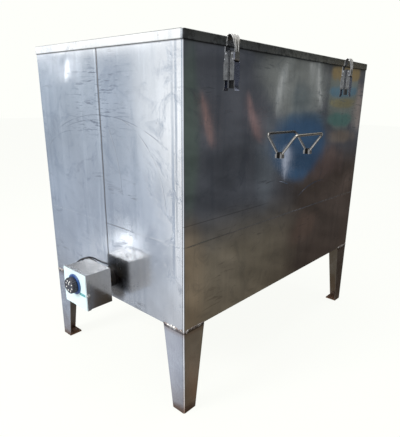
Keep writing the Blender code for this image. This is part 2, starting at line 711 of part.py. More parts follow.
def make_thermostat(looks):
    """The thermostat's steel box with its white front, dial ring and knob."""
    steel, white = looks["box_steel"], looks["white_plate"]
    half_y, half_z = BOX_WIDTH / 2, BOX_HEIGHT / 2
    inward = (1, 0, 0)

    def shell(name, near, far, inset, sheet, open_to, look):
        """A folded box between two distances from the wall, open on the near or the far side."""
        hy, hz = half_y - inset, half_z - inset
        made = block(name, on_left(far, -hy, BOX_Z - hz), on_left(near, hy, BOX_Z + hz), look, 0.0008)
        low_out, high_out = (near - 0.01, far - sheet) if open_to == "near" else (near + sheet, far + 0.01)
        hollow = block(
            f"{name}_hollow",
            on_left(high_out, -hy + sheet, BOX_Z - hz + sheet),
            on_left(low_out, hy - sheet, BOX_Z + hz - sheet),
            look,
        )
        return cut(made, hollow)

    inset = COVER_SHEET + GAP
    box_far = BOX_FAR - COVER_SHEET - GAP
    housing = shell("thermostat_housing", BOX_NEAR, box_far, inset, BOX_SHEET, "far", steel)
    shallow = 0.01  # depth of a cutter that opens one wall only
    wall_holes = [
        ("neck", on_left(BOX_NEAR + shallow, 0, BOX_Z), inward, NECK_BORE, 24),
        ("lead", on_left(BOX_NEAR + shallow, LEAD_EXIT_Y, LEAD_EXIT_Z), inward, LEAD_EXIT_BORE, 12),
        ("gland", on_left(GLAND_OUT, half_y - shallow, GLAND_Z), (0, 1, 0), GLAND_THREAD + GAP, 16),
    ]
    for what, start, axis, radius, sides in wall_holes:
        cut(housing, drill(f"housing_{what}_cut", start, axis, radius, sides, 2 * shallow))

    stem_start = on_left(BOX_FAR + shallow, 0, DIAL_Z)
    cover = shell("thermostat_cover", BOX_FAR - COVER_SKIRT, BOX_FAR, 0, COVER_SHEET, "near", white)
    cut(cover, drill("cover_stem_cut", stem_start, inward, STEM_HOLE, length=2 * shallow))
    screw_out, screw_drop, screw_radius = BOX_FAR - 0.0045, 0.006, 0.0042
    for where, side in (("left", 1), ("right", -1)):
        start = on_left(screw_out, side * (half_y + GAP), BOX_Z - screw_drop)
        head = [(0, screw_radius), (0.0012, screw_radius), (0.0022, 0.0026)]
        turned(f"cover_screw_{where}", head, start, (0, side, 0), looks["bright_steel"], 12)

    plate_near, plate_far = BOX_FAR + GAP, BOX_FAR + 0.0010
    edge = 0.0012
    low = on_left(plate_far, -half_y + edge, BOX_Z - half_z + edge)
    high = on_left(plate_near, half_y - edge, BOX_Z + half_z - edge)
    face = block("front_plate", low, high, white)
    cut(face, drill("plate_stem_cut", stem_start, inward, STEM_HOLE, length=2 * shallow))

    ring_near, ring_far = plate_far + GAP, plate_far + 0.0030
    ring = turned(
        "dial_ring",
        [(0, DIAL_RADIUS - 0.0015), (0.0012, DIAL_RADIUS), (ring_far - ring_near, DIAL_RADIUS)],
        on_left(ring_far, 0, DIAL_Z),
        inward,
        looks["blue_plastic"],
        32,
    )
    ring_bore = 0.0165
    cut(ring, drill("ring_bore", stem_start, inward, ring_bore, 32))

    knob_near, knob_far = ring_far + GAP, END_REACH
    stem_end = BOX_FAR - 0.006
    knob = [
        (0, KNOB_RADIUS - 0.0012),
        (0.0012, KNOB_RADIUS),
        (knob_far - knob_near - 0.0015, KNOB_RADIUS - 0.0006),
        (knob_far - knob_near, KNOB_RADIUS - 0.0020),
        (knob_far - knob_near, STEM_RADIUS),
        (knob_far - stem_end, STEM_RADIUS),
    ]
    turned("thermostat_knob", knob, on_left(knob_far, 0, DIAL_Z), inward, looks["black_plastic"], 32)

    switch_far = BOX_FAR - COVER_SHEET - GAP
    switch_half, switch_deep = 0.018, 0.034
    switch = block(
        "thermostat_switch",
        on_left(switch_far, -switch_half, DIAL_Z - switch_half),
        on_left(switch_far - switch_deep, switch_half, DIAL_Z + switch_half),
        looks["cream_plastic"],
        0.0015,
    )
    stem_room = 0.017
    cut(switch, drill("switch_bore", stem_start, inward, STEM_RADIUS + GAP, length=stem_room))

    thread = 0.004  # of the gland inside the box
    base = BOX_SHEET + thread + GAP
    nut, cap, mouth, bore, bore_start = 0.0120, 0.0105, 0.0075, 0.0036, 0.010
    gland = [
        (0, GLAND_THREAD),
        (base, GLAND_THREAD),
        (base, nut),
        (base + 0.006, nut),
        (base + 0.006, cap),
        (base + 0.014, cap),
        (base + 0.019, mouth),
    ]
    start = on_left(GLAND_OUT, half_y - inset - BOX_SHEET - thread, GLAND_Z)
    mains_gland = turned("mains_gland", gland, start, (0, 1, 0), looks["black_plastic"], 16)
    bore_from = start + Vector((0, base + bore_start, 0))
    cut(mains_gland, drill("mains_gland_bore", bore_from, (0, 1, 0), bore, 12))


def make_sensor_lead(looks):
    """The thin lead from the box's back, over in an arc beside the wall, to the sensor's well."""
    route = [
        (BOX_NEAR + BOX_SHEET + GAP, LEAD_EXIT_Y, LEAD_EXIT_Z),
        (0.0240, 0.0245, 0.2928),
        (0.0150, 0.0310, 0.2965),
        (0.0075, 0.0430, 0.3000),
        (0.0048, 0.0580, 0.3022),
        (0.0045, 0.0750, 0.3028),
        (0.0045, 0.0930, 0.3005),
        (0.0045, 0.1100, 0.2955),
        (0.0050, 0.1260, 0.2880),
        (0.0070, 0.1400, 0.2775),
        (0.0110, 0.1510, 0.2650),
        (0.0160, 0.1575, 0.2530),
        (0.0165, 0.1590, 0.2450),
        (0.0125, 0.1590, 0.2393),
        (WELL_OUT + GAP, WELL_Y, WELL_Z),
    ]
    line = through([on_left(*p) for p in route], 3)
    wire("sensor_lead", line, LEAD_RADIUS, looks["black_rubber"], 2)


# ---------------------------------------------------------------- drain


def make_drain(looks):
    """The ball valve at the bottom of the right end, closed, with its lever across the pipe."""
    steel, bright = looks["inner_steel"], looks["bright_steel"]
    outward = (1, 0, 0)

    def at(out, z=0.0):
        return on_right(out, 0, DRAIN_Z + z)

    socket_in = SHEET + 0.004
    length = VALVE_NEAR - GAP + socket_in
    socket = rod("drain_socket", at(-socket_in), outward, length, DRAIN_RADIUS, steel, 24)
    cut(socket, drill("drain_socket_bore", at(-CUT_REACH), outward, DRAIN_BORE, 24))

    middle, length = (VALVE_NEAR + VALVE_FAR) / 2, VALVE_FAR - VALVE_NEAR
    hexagon, waist, body_radius = 0.0190, 0.0170, 0.0200
    half_profile = [(0, hexagon), (0.0100, hexagon), (0.0120, waist), (0.0150, body_radius)]
    profile = half_profile + [(length - along, radius) for along, radius in half_profile[::-1]]
    body = turned("valve_body", profile, at(VALVE_NEAR), outward, bright, 24)
    inside, bonnet = 0.010, 0.0090
    join(body, rod("valve_bonnet", at(middle, inside), (0, 0, 1), STEM_TOP - inside, bonnet, bright, 16))
    seat = turned(
        "valve_seat_cut",
        [(p * SEAT_RADIUS, q * SEAT_RADIUS) for p, q in circle_points(10)],
        at(middle),
        (0, 1, 0),
        bright,
        20,
    )
    stem_bore = drill("valve_stem_cut", at(middle), (0, 0, 1), VALVE_STEM + GAP)
    cut(body, drill("valve_bore", at(0), outward, BALL_BORE, 20, length=0.10), seat, stem_bore)

    ball = turned(
        "valve_ball",
        [(p * BALL_RADIUS, q * BALL_RADIUS) for p, q in circle_points(10)],
        at(middle),
        (0, 0, 1),
        bright,
        20,
    )
    root, stem_end = 0.005, STEM_TOP + 0.008
    join(ball, rod("valve_stem", at(middle, root), (0, 0, 1), stem_end - root, VALVE_STEM, bright, 16))
    cut(ball, drill("ball_bore", at(middle) - Vector((0, CUT_REACH, 0)), (0, 1, 0), BALL_BORE, 20))

    hub, grip = 0.0090, 0.0070
    centre = at(middle, STEM_TOP + GAP)
    outline = []
    for radius, along, first in ((hub, 0, math.pi), (grip, LEVER_LENGTH - grip, 0)):
        for i in range(9):
            turn = first + math.pi * i / 8
            outline.append(centre + Vector((radius * math.cos(turn), along + radius * math.sin(turn), 0)))
    lever = prism("valve_lever", outline, (0, 0, LEVER_THICK), looks["blue_plastic"])
    cut(lever, drill("valve_lever_bore", at(middle), (0, 0, 1), VALVE_STEM + GAP))

    near = VALVE_FAR + GAP
    spout = END_REACH - near
    barb, neck, nut, nut_long, plain = 0.0135, 0.0118, 0.0165, 0.0070, 0.0100
    profile = [(0, nut), (nut_long, nut), (nut_long, neck)]
    teeth = 3
    pitch = (spout - plain) / teeth
    for i in range(teeth):
        start = plain + i * pitch
        profile += [(start, neck), (start, barb), (start + pitch * 0.9, neck)]
    profile.append((spout, neck - 0.0005))
    tail = turned("drain_spout", profile, at(near), outward, bright, 20)
    cut(tail, drill("drain_spout_bore", at(near - 0.01), outward, BALL_BORE, 20))


def circle_points(steps):
    """Half a unit circle as (along, radius) points from one pole to the other."""
    return [
        (-math.cos(math.pi * i / steps), 0 if i in (0, steps) else math.sin(math.pi * i / steps))
        for i in range(steps + 1)
    ]


# ---------------------------------------------------------------- assembly


def main():
    for old in list(bpy.data.objects):
        bpy.data.objects.remove(old)
    looks = make_materials()
    make_tank(looks)
    make_false_floor(looks)
    make_frame_rails(looks)
    make_legs(looks)
    make_handle("front", on_front, looks)
    make_handle("rear", on_rear, looks)
    make_lid(looks)
    for where, side in (("left", -1), ("right", 1)):
        make_hinge(where, side * HINGE_X, looks)
        make_latch(where, side * LATCH_X, looks)
    make_heater(looks)
    make_thermostat(looks)
    make_sensor_lead(looks)
    make_drain(looks)


main()
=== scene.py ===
"""The looks of the heated honey and wax vat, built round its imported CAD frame.

Metres, in the CAD's frame: +Z up, latches towards -Y, thermostat on the -X end, drain on the +X end.
"""

import math

import bmesh
import bpy
from mathutils import Matrix, Vector, noise


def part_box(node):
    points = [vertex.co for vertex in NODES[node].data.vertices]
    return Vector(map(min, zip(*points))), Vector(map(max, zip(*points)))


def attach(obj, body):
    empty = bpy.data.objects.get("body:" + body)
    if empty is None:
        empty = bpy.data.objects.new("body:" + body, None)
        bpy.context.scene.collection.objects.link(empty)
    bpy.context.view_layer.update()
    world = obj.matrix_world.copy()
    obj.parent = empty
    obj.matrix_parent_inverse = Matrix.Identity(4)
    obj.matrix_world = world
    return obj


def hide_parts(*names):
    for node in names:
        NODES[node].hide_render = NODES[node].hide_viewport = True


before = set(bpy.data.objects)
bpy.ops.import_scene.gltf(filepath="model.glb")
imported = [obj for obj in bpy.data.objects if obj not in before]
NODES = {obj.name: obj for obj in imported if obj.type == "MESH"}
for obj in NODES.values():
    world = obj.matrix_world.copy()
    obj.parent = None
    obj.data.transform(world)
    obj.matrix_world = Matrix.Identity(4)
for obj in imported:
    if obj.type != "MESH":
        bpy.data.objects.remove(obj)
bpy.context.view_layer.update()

# Places, from the frame
SHELL_LOW, SHELL_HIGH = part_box("front_shell")[0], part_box("rear_shell")[1]
HALF_X, HALF_Y = SHELL_HIGH.x, SHELL_HIGH.y
TANK_BOTTOM = SHELL_LOW.z
LEDGE_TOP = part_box("floor_ledge")[1].z
LID_RISE = 0.003  # of the lid's middle over its edges
LID_BOTTOM, LID_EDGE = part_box("lid_pan")[0].z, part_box("lid_pan")[1].z - LID_RISE
PLATE_X, RING_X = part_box("front_plate")[0].x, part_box("dial_ring")[0].x
KNOB_LOW, KNOB_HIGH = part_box("thermostat_knob")
DIAL_Z = (KNOB_LOW.z + KNOB_HIGH.z) / 2
KNOB_RADIUS = (KNOB_HIGH.z - KNOB_LOW.z) / 2
BOX_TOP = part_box("thermostat_housing")[1].z
SOCKET_LOW, SOCKET_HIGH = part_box("heater_socket")
SOCKET_Y, SOCKET_Z = (SOCKET_LOW.y + SOCKET_HIGH.y) / 2, (SOCKET_LOW.z + SOCKET_HIGH.z) / 2
LEG_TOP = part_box("leg_front_left")[1].z
LEG_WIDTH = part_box("leg_front_left")[1].x + HALF_X

# The camera stands off the near corner, a little above the middle of the tank
CAMERA_PLACE = Vector((-0.9846, -0.8495, 0.7149))
CAMERA_AZIMUTH, CAMERA_ELEVATION, CAMERA_ROLL = map(math.radians, (-49.562, 17.323, -1.260))
CAMERA_LENS, CAMERA_SHIFT = 33.925, (-0.0430, 0.0244)


# ---------------------------------------------------------------- building node trees


class Graph:
    """A node tree with short calls: each one adds a node and gives back its output socket."""

    def __init__(self, tree):
        self.tree = tree

    def add(self, kind, inputs=(), output=0, **settings):
        node = self.tree.nodes.new(kind)
        for key, value in settings.items():
            setattr(node, key, value)
        for key, value in dict(inputs).items():
            self.put(node.inputs[key], value)
        return node.outputs[output]

    def put(self, socket, value):
        if isinstance(value, bpy.types.NodeSocket):
            self.tree.links.new(value, socket)
        elif isinstance(value, (tuple, list)) and len(value) == 3 and socket.type == "RGBA":
            socket.default_value = (*value, 1)
        else:
            socket.default_value = value

    def math(self, operation, a, b=0.0):
        return self.add("ShaderNodeMath", {0: a, 1: b}, operation=operation)

    def minus(self, a, b):
        return self.math("SUBTRACT", a, b)

    def over(self, a, b):
        return self.math("DIVIDE", a, b)

    def size(self, value):
        return self.math("ABSOLUTE", value)

    def sum(self, first, *rest):
        for other in rest:
            first = self.math("ADD", first, other)
        return first

    def times(self, first, *rest):
        for other in rest:
            first = self.math("MULTIPLY", first, other)
        return first

    def step(self, value, low, high, start=0.0, end=1.0):
        """A smooth step of value from start at low to end at high."""
        inputs = {"Value": value, "From Min": low, "From Max": high, "To Min": start, "To Max": end}
        return self.add("ShaderNodeMapRange", inputs, interpolation_type="SMOOTHSTEP")

    def mix(self, factor, a, b):
        inputs = {0: factor, 6: a, 7: b}
        return self.add("ShaderNodeMix", inputs, output=2, data_type="RGBA", clamp_factor=True)

    def layers(self, colour, *layers):
        """A colour under layers, each of them a mask and the layer's own colour."""
        for mask, tint in layers:
            colour = self.mix(mask, colour, tint)
        return colour

    def scaled(self, vector, scale, shift=(0, 0, 0)):
        return self.add("ShaderNodeMapping", {"Vector": vector, "Scale": scale, "Location": shift})

    def moved(self, vector, shift):
        return self.scaled(vector, (1, 1, 1), shift)

    def noise(self, vector, scale, detail=2.0, roughness=0.5, distortion=0.0):
        inputs = {"Vector": vector, "Scale": scale, "Detail": detail, "Roughness": roughness}
        return self.add("ShaderNodeTexNoise", {**inputs, "Distortion": distortion})

    def axes(self, vector):
        node = self.tree.nodes.new("ShaderNodeSeparateXYZ")
        self.tree.links.new(vector, node.inputs[0])
        return node.outputs[0], node.outputs[1], node.outputs[2]

    def place(self):
        """The point's place in the frame, in metres."""
        return self.add("ShaderNodeTexCoord", output=3)

    def facing(self):
        """The surface's own outward direction."""
        return self.add("ShaderNodeTexCoord", output=1)


def new_material(name):
    """A material's graph and its Principled shader."""
    made = bpy.data.materials.new(name)
    made.use_nodes = True
    return made, Graph(made.node_tree), made.node_tree.nodes["Principled BSDF"]


def dress(graph, shader, colour, roughness, height, metallic=0.0, ior=None):
    """Colour, roughness and a height in metres, on a Principled shader."""
    graph.put(shader.inputs["Base Color"], colour)
    graph.put(shader.inputs["Roughness"], roughness)
    shader.inputs["Metallic"].default_value = metallic
    if ior:
        shader.inputs["IOR"].default_value = ior
    bump = graph.add("ShaderNodeBump", {"Height": height, "Distance": 1.0, "Strength": 1.0})
    graph.put(shader.inputs["Normal"], bump)


# ---------------------------------------------------------------- materials


def shaded(tint, factor):
    """A tint made darker or lighter."""
    return [min(1, factor * c) for c in tint]


def near(g, value, middle, width):
    """1 at the middle, falling smoothly to 0 at width to each side."""
    return g.step(g.size(g.minus(value, middle)), 0, width, 1, 0)


def inside(g, value, low, high, soft):
    """1 from low to high, falling smoothly to 0 past both."""
    return g.times(g.step(value, low - soft, low + soft), g.step(value, high - soft, high + soft, 1, 0))


# Swipes on the walls: middle of the circle, its radius, and from where to where along the wall
END_SWIPES = (
    ((0.000, 0.211), 0.467, (-0.20, 0.20)),
    ((0.010, 0.215), 0.451, (-0.03, 0.14)),
    ((0.120, 0.440), 0.195, (0.13, 0.26)),
    ((-0.020, 0.480), 0.200, (-0.22, -0.08)),
    ((0.240, 0.500), 0.310, (-0.08, -0.02)),
)
FRONT_SWIPES = (
    ((-0.230, 0.470), 0.130, (-0.34, -0.20)),
    ((0.160, 0.220), 0.270, (0.02, 0.30)),
    ((-0.100, 0.330), 0.190, (-0.20, -0.02)),
)
SWIPE_WIDTH, SWIPE_FADE = 0.0017, 0.02

END_FACE = (HALF_X - 0.0010, HALF_X - 0.0002)  # between these the side's sheet turns into the end's
# Half widths of the marks on the walls, and their distances from what makes them
SEAM_CORE, SEAM_EDGE = 0.0012, 0.0040
SEAM_HIGHLIGHT_OFF, SEAM_HIGHLIGHT_WIDTH = 0.0075, 0.004
LEDGE_DROP, LEDGE_LINE = 0.001, 0.0022
STIFFENER_RISE, STIFFENER_LINE = 0.045, 0.0018
LID_SHADOW = 0.0035
# The painted shadow behind the thermostat's box: its shift from the heater's socket, and the distances where
# it starts to fade and where it ends
BOX_SHADOW_SHIFT_Y, BOX_SHADOW_SHIFT_Z, BOX_SHADOW_CORE, BOX_SHADOW_EDGE = -0.024, -0.016, 0.036, 0.060
CREASE_OFF, CREASE_WIDTH = 0.024, 0.010
DENTS_OFF, DENTS_WIDTH = 0.05, 0.09


def arc_scratch(g, x, y, centre, radius, break_up):
    """A thin, broken swipe along a circle in the plane of x and y."""
    dx, dy = g.minus(x, centre[0]), g.minus(y, centre[1])
    distance = g.math("SQRT", g.sum(g.times(dx, dx), g.times(dy, dy)))
    return g.times(g.step(g.size(g.minus(distance, radius)), 0, SWIPE_WIDTH, 1, 0), break_up)


class Wall:
    """The tank's upright sheet: where a point lies on it, the marks of making and use, and painted shade,
    shadow and highlight.
    """

    def __init__(self, g, p, cloud, wisps):
        self.g, self.p, self.cloud, self.wisps = g, p, cloud, wisps
        self.x, self.y, self.z = g.axes(p)
        self.on_end = g.step(g.size(self.x), *END_FACE)
        self.on_side = g.minus(1.0, self.on_end)
        wander = g.times(g.minus(g.noise(g.scaled(p, (1, 1, 9)), 1.0, 2), 0.5), 0.004)
        self.seam_y = g.sum(self.y, wander)
        self.swipes = self.all_swipes()

    def all_swipes(self):
        """The top arcs of circles where a hand or a cloth went round."""
        g = self.g
        broken = g.step(g.noise(g.moved(self.p, (2, 9, 4)), 21, 3), 0.40, 0.56)
        swipes = []
        for wall, across, table in ((self.on_end, self.y, END_SWIPES), (self.on_side, self.x, FRONT_SWIPES)):
            for centre, radius, (low, high) in table:
                swipe = arc_scratch(g, across, self.z, centre, radius, broken)
                upper = g.step(self.z, centre[1], centre[1] + SWIPE_FADE)
                swipes.append(g.times(swipe, wall, inside(g, across, low, high, SWIPE_FADE), upper))
        return g.math("MINIMUM", g.sum(*swipes), 1.0)

    def seam_layers(self):
        """Rubbed dashes beside the seam's upper half, its heat-darkened line, and a pale line to one side of
        it that is a painted highlight.
        """
        g, z = self.g, self.z
        dashes = g.step(g.noise(g.scaled(self.p, (1, 24, 200), (1, 3, 7)), 1.0, 3, 0.65), 0.54, 0.64)
        upper = inside(g, z, LID_BOTTOM - 0.19, LID_BOTTOM - 0.03, 0.03)
        where = g.times(self.on_end, near(g, self.y, 0.01, 0.17), upper)
        line = g.times(self.on_end, g.step(g.size(self.seam_y), SEAM_CORE, SEAM_EDGE, 1, 0))
        # a painted highlight: a pale line to one side of the seam, stronger higher up
        seam_highlight = g.times(self.on_end, near(g, self.seam_y, SEAM_HIGHLIGHT_OFF, SEAM_HIGHLIGHT_WIDTH))
        return (
            (g.times(dashes, where, 0.7), (0.22, 0.24, 0.29)),
            (g.times(seam_highlight, g.step(z, TANK_BOTTOM, LID_BOTTOM, 0.1, 0.5)), (0.90, 0.92, 0.95)),
            (g.times(line, g.step(z, TANK_BOTTOM, LID_BOTTOM, 0.6, 1.0)), (0.15, 0.15, 0.16)),
        )

    def level_layers(self):
        """Faint lines where the inner ledge and stiffener are spot-welded, and the lid's shadow."""
        g, x, z = self.g, self.x, self.z
        on_end = g.times(self.on_end, inside(g, self.y, -0.09, -0.002, 0.03))
        along = g.sum(on_end, g.times(self.on_side, g.step(x, -0.32, -0.24, 0.8, 0.1)))
        patchy = g.step(self.cloud, 0.40, 0.62, 0.35, 0.9)
        ledge = g.times(near(g, z, LEDGE_TOP - LEDGE_DROP, LEDGE_LINE), patchy, along)
        stiffener = near(g, z, LEDGE_TOP + STIFFENER_RISE, STIFFENER_LINE)
        stiffener = g.times(stiffener, self.on_side, g.step(x, -0.16, -0.10, 0.55, 0))
        return (
            (g.math("MAXIMUM", ledge, stiffener), (0.23, 0.23, 0.24)),
            (g.times(near(g, z, LID_BOTTOM, LID_SHADOW), 0.85), (0.06, 0.06, 0.065)),
        )

    def box_shadow_layer(self):
        """Painted shadow behind the thermostat's box: a near-black patch on the end wall round the heater's
        socket.
        """
        g = self.g
        middle = (-HALF_X, SOCKET_Y + BOX_SHADOW_SHIFT_Y, SOCKET_Z + BOX_SHADOW_SHIFT_Z)
        off = g.add("ShaderNodeVectorMath", {0: self.p, 1: middle}, output=1, operation="DISTANCE")
        shade_patch = g.step(g.sum(off, g.times(self.wisps, 0.020)), BOX_SHADOW_CORE, BOX_SHADOW_EDGE, 0.93, 0)
        on_left = g.times(self.on_end, g.step(self.x, -0.1, 0.1, 1, 0))
        return g.times(on_left, shade_patch), (0.022, 0.022, 0.024)

    def colour(self, colour):
        swipes = (self.g.times(self.swipes, 0.50), (0.22, 0.23, 0.26))
        return self.g.layers(colour, swipes, *self.seam_layers(), *self.level_layers(), self.box_shadow_layer())

    def roughness(self):
        """Rougher on the ends and most so by the thermostat's box, with one polished streak high up."""
        g = self.g
        by_box = g.times(near(g, self.y, -0.05, 0.22), g.step(self.z, BOX_TOP - 0.01, BOX_TOP + 0.09, 1, 0))
        streak = g.times(near(g, self.y, 0.135, 0.05), g.step(self.z, LID_BOTTOM - 0.11, LID_BOTTOM - 0.08))
        return g.times(self.on_end, g.sum(0.065, g.times(by_box, 0.13), g.times(streak, -0.07)))

    def height(self):
        """A soft crease beside the near corner, dents from handling, and the swipes' scratches."""
        g = self.g
        crease = near(g, self.seam_y, -HALF_Y + CREASE_OFF, CREASE_WIDTH)
        crease = g.times(self.on_end, crease, g.step(self.z, 0.30, 0.50))
        dents = near(g, self.y, -HALF_Y + DENTS_OFF, DENTS_WIDTH)
        dents = g.times(self.on_end, g.step(self.wisps, 0.50, 0.80), dents)
        return g.sum(g.times(crease, 0.00022), g.times(dents, -0.00030), g.times(self.swipes, -0.00006))


def sheet_steel(name, tint, dull=0.0, warm=0.0, walls=False, hem=False, buckle=1.0):
    """Mill-finish stainless sheet: faint grain, cloudy smudges, rubbed marks, scratches and slow buckles."""
    made, g, shader = new_material(name)
    p = g.place()
    y, z = g.axes(p)[1:]
    grain = g.noise(g.scaled(p, (260, 260, 5)), 1.0, 3)
    cross_grain = g.noise(g.scaled(p, (9, 9, 500)), 1.0, 2)
    cloud = g.noise(p, 5.5, 6, 0.62, 0.4)
    wisps = g.noise(g.moved(p, (2, 7, 1)), 13, 6, 0.68, 1.5)
    bands = g.noise(g.scaled(p, (14, 14, 1.1), (3, 1, 2)), 1.0, 3, 0.6)
    streaks = g.noise(g.scaled(p, (30, 30, 2.2), (9, 4, 2)), 1.0, 4, 0.6, 0.3)
    fine = g.noise(p, 60, 4, 0.7)
    stain = g.step(g.noise(g.scaled(p, (1, 1, 1.4), (7, 2, 5)), 11, 5, 0.72, 1.2), 0.57, 0.75)
    rubbed = g.times(
        g.step(g.noise(g.scaled(p, (18, 18, 110)), 1.0, 3, 0.6, 0.6), 0.57, 0.70),
        g.step(g.noise(g.moved(p, (4, 4, 1)), 6, 2), 0.48, 0.64),
    )
    specks = g.step(g.noise(p, 150, 2, 0.5), 0.74, 0.80)
    wall = Wall(g, p, cloud, wisps) if walls else None
    colour = g.layers(
        g.mix(g.step(cloud, 0.3, 0.7), shaded(tint, 0.88), shaded(tint, 1.07)),
        (g.step(bands, 0.35, 0.7, 0, 0.30), shaded(tint, 0.82)),
        (g.step(wisps, 0.50, 0.70, 0, 0.42), (0.36, 0.40, 0.47)),
        (g.step(streaks, 0.50, 0.74, 0, 0.40), (0.40, 0.44, 0.50)),
        (g.step(streaks, 0.22, 0.42, 0.45, 0), (0.84, 0.87, 0.90)),
        (g.times(stain, 0.35), (0.26, 0.28, 0.33)),
        (g.times(rubbed, 0.45), (0.17, 0.18, 0.21)),
        (g.times(specks, 0.5), (0.22, 0.21, 0.20)),
    )
    if wall:
        colour = wall.colour(colour)
    if hem:
        # painted shade along the lid's folded top and bottom edges, and grime at the corners
        hem_edge_shade = g.math("MAXIMUM", near(g, z, LID_BOTTOM, 0.0022), near(g, z, LID_EDGE, 0.0020))
        corner = g.times(near(g, g.size(y), HALF_Y - 0.004, 0.020), g.step(fine, 0.50, 0.62))
        colour = g.mix(g.sum(g.times(hem_edge_shade, 0.75), g.times(corner, 0.6)), colour, (0.10, 0.10, 0.10))
    if warm:
        # browned by the warmth low down
        tide = g.step(g.sum(z, g.times(cloud, 0.10)), TANK_BOTTOM + 0.02, TANK_BOTTOM + 0.20, warm, 0)
        colour = g.mix(tide, colour, (0.46, 0.40, 0.33))
    rough = g.sum(
        g.step(grain, 0.3, 0.7, 0.040 + dull, 0.065 + dull),
        g.times(g.step(cloud, 0.45, 0.80), 0.03),
        g.times(g.step(wisps, 0.55, 0.75), 0.03),
        g.times(stain, 0.06),
        g.times(rubbed, 0.10),
        g.times(g.step(fine, 0.4, 0.7), 0.010),
    )
    slow = g.noise(g.scaled(p, (1, 1, 0.7)), 2.6, 1.5, 0.45)
    puckers = g.noise(g.scaled(p, (1, 1, 0.35), (5, 5, 5)), 9.0, 1, 0.4)
    near_top = g.step(z, LID_BOTTOM - 0.16, LID_BOTTOM - 0.01)
    height = g.sum(
        g.times(slow, 0.0030 * buckle),
        g.times(puckers, 0.0004 * buckle),
        g.times(puckers, near_top, 0.0006 * buckle),
        g.times(grain, 0.0000016),
        g.times(cross_grain, 0.0000010),
        g.times(fine, 0.000006),
    )
    if wall:
        rough = g.sum(rough, wall.roughness())
        height = g.sum(height, wall.height())
    dress(g, shader, colour, rough, height, metallic=1.0)
    return made


def plain_steel(name, tint, rough, stretch=(1, 1, 1), stain=0.0, stain_colour=(0.2, 0.15, 0.1)):
    """Formed or turned steel: fine grain, worn cloudiness and optional staining."""
    made, g, shader = new_material(name)
    p = g.place()
    grain = g.noise(g.scaled(p, tuple(350 * s for s in stretch)), 1.0, 3)
    cloud = g.noise(p, 38, 4, 0.6)
    colour = g.mix(g.step(cloud, 0.3, 0.72), shaded(tint, 0.82), shaded(tint, 1.06))
    if stain:
        patch = g.step(g.noise(g.moved(p, (3, 3, 3)), 55, 5, 0.7), 0.58 - 0.2 * stain, 0.72)
        colour = g.mix(g.times(patch, min(1, stain + 0.3)), colour, stain_colour)
    roughness = g.sum(g.step(grain, 0.3, 0.7, rough, rough + 0.10), g.times(g.step(cloud, 0.4, 0.8), 0.08))
    dress(g, shader, colour, roughness, g.times(g.sum(grain, cloud), 0.00001), metallic=1.0)
    return made


def leg_steel():
    """Folded sheet, browned and rusting towards the floor, with heat tint and a line of painted shade under
    the weld at its top.
    """
    made, g, shader = new_material("leg_sheet")
    p = g.place()
    x, _, z = g.axes(p)
    grain = g.noise(g.scaled(p, (260, 260, 6)), 1.0, 3)
    cloud = g.noise(p, 14, 6, 0.65, 0.5)
    speck = g.step(g.noise(p, 120, 4, 0.7), 0.62, 0.74)
    low = g.step(g.sum(z, g.times(cloud, 0.09)), 0.045, 0.16, 1, 0)
    foot = g.step(g.sum(z, g.times(cloud, 0.03)), 0.014, 0.040, 1, 0)
    heat = g.step(g.sum(z, g.times(cloud, 0.012)), LEG_TOP - 0.016, LEG_TOP, 0, 0.65)
    # painted shade: a dark line just under the weld bead
    shade_under_weld = near(g, z, LEG_TOP - 0.0045, 0.0035)
    colour = g.layers(
        g.mix(g.step(cloud, 0.3, 0.72), (0.50, 0.50, 0.53), (0.66, 0.67, 0.70)),
        (g.step(x, 0.0, HALF_X - LEG_WIDTH, 0, 0.6), (0.31, 0.275, 0.22)),
        (g.times(low, 0.45), (0.36, 0.24, 0.16)),
        (g.times(foot, 0.85), (0.20, 0.11, 0.065)),
        (g.times(low, speck, 0.5), (0.17, 0.09, 0.05)),
        (heat, (0.34, 0.27, 0.25)),
        (g.times(shade_under_weld, 0.85), (0.07, 0.06, 0.055)),
    )
    worn = g.times(g.step(cloud, 0.35, 0.75), 0.07)
    rough = g.sum(g.step(grain, 0.3, 0.7, 0.16, 0.19), worn, g.times(foot, 0.3))
    slow = g.times(g.noise(p, 7, 2), 0.0010)
    height = g.sum(slow, g.times(grain, 0.000001), g.times(speck, foot, 0.00005))
    dress(g, shader, colour, rough, height, metallic=1.0)
    return made


def rusty_plate():
    made, g, shader = new_material("rusty_foot_plate")
    p = g.place()
    flake = g.noise(p, 210, 6, 0.72)
    patch = g.noise(p, 60, 4, 0.6)
    colour = g.mix(g.step(flake, 0.35, 0.65), (0.085, 0.045, 0.028), (0.28, 0.15, 0.085))
    colour = g.mix(g.step(patch, 0.55, 0.7, 0, 0.6), colour, (0.34, 0.30, 0.26))
    dress(g, shader, colour, g.step(patch, 0.4, 0.7, 0.85, 0.55), g.times(flake, 0.0005), metallic=0.25)
    return made


def weld_metal():
    """A ripple-laid bead with straw and blue heat colours."""
    made, g, shader = new_material("weld_metal")
    p = g.place()
    ripple = g.noise(p, 330, 2)
    heat = g.noise(g.moved(p, (1, 2, 3)), 45, 3)
    colour = g.mix(g.step(heat, 0.42, 0.58), (0.62, 0.60, 0.58), (0.27, 0.22, 0.20))
    colour = g.mix(g.step(heat, 0.56, 0.66, 0, 0.8), colour, (0.09, 0.09, 0.12))
    dress(g, shader, colour, g.step(ripple, 0.3, 0.7, 0.34, 0.55), g.times(ripple, 0.00030), metallic=1.0)
    return made


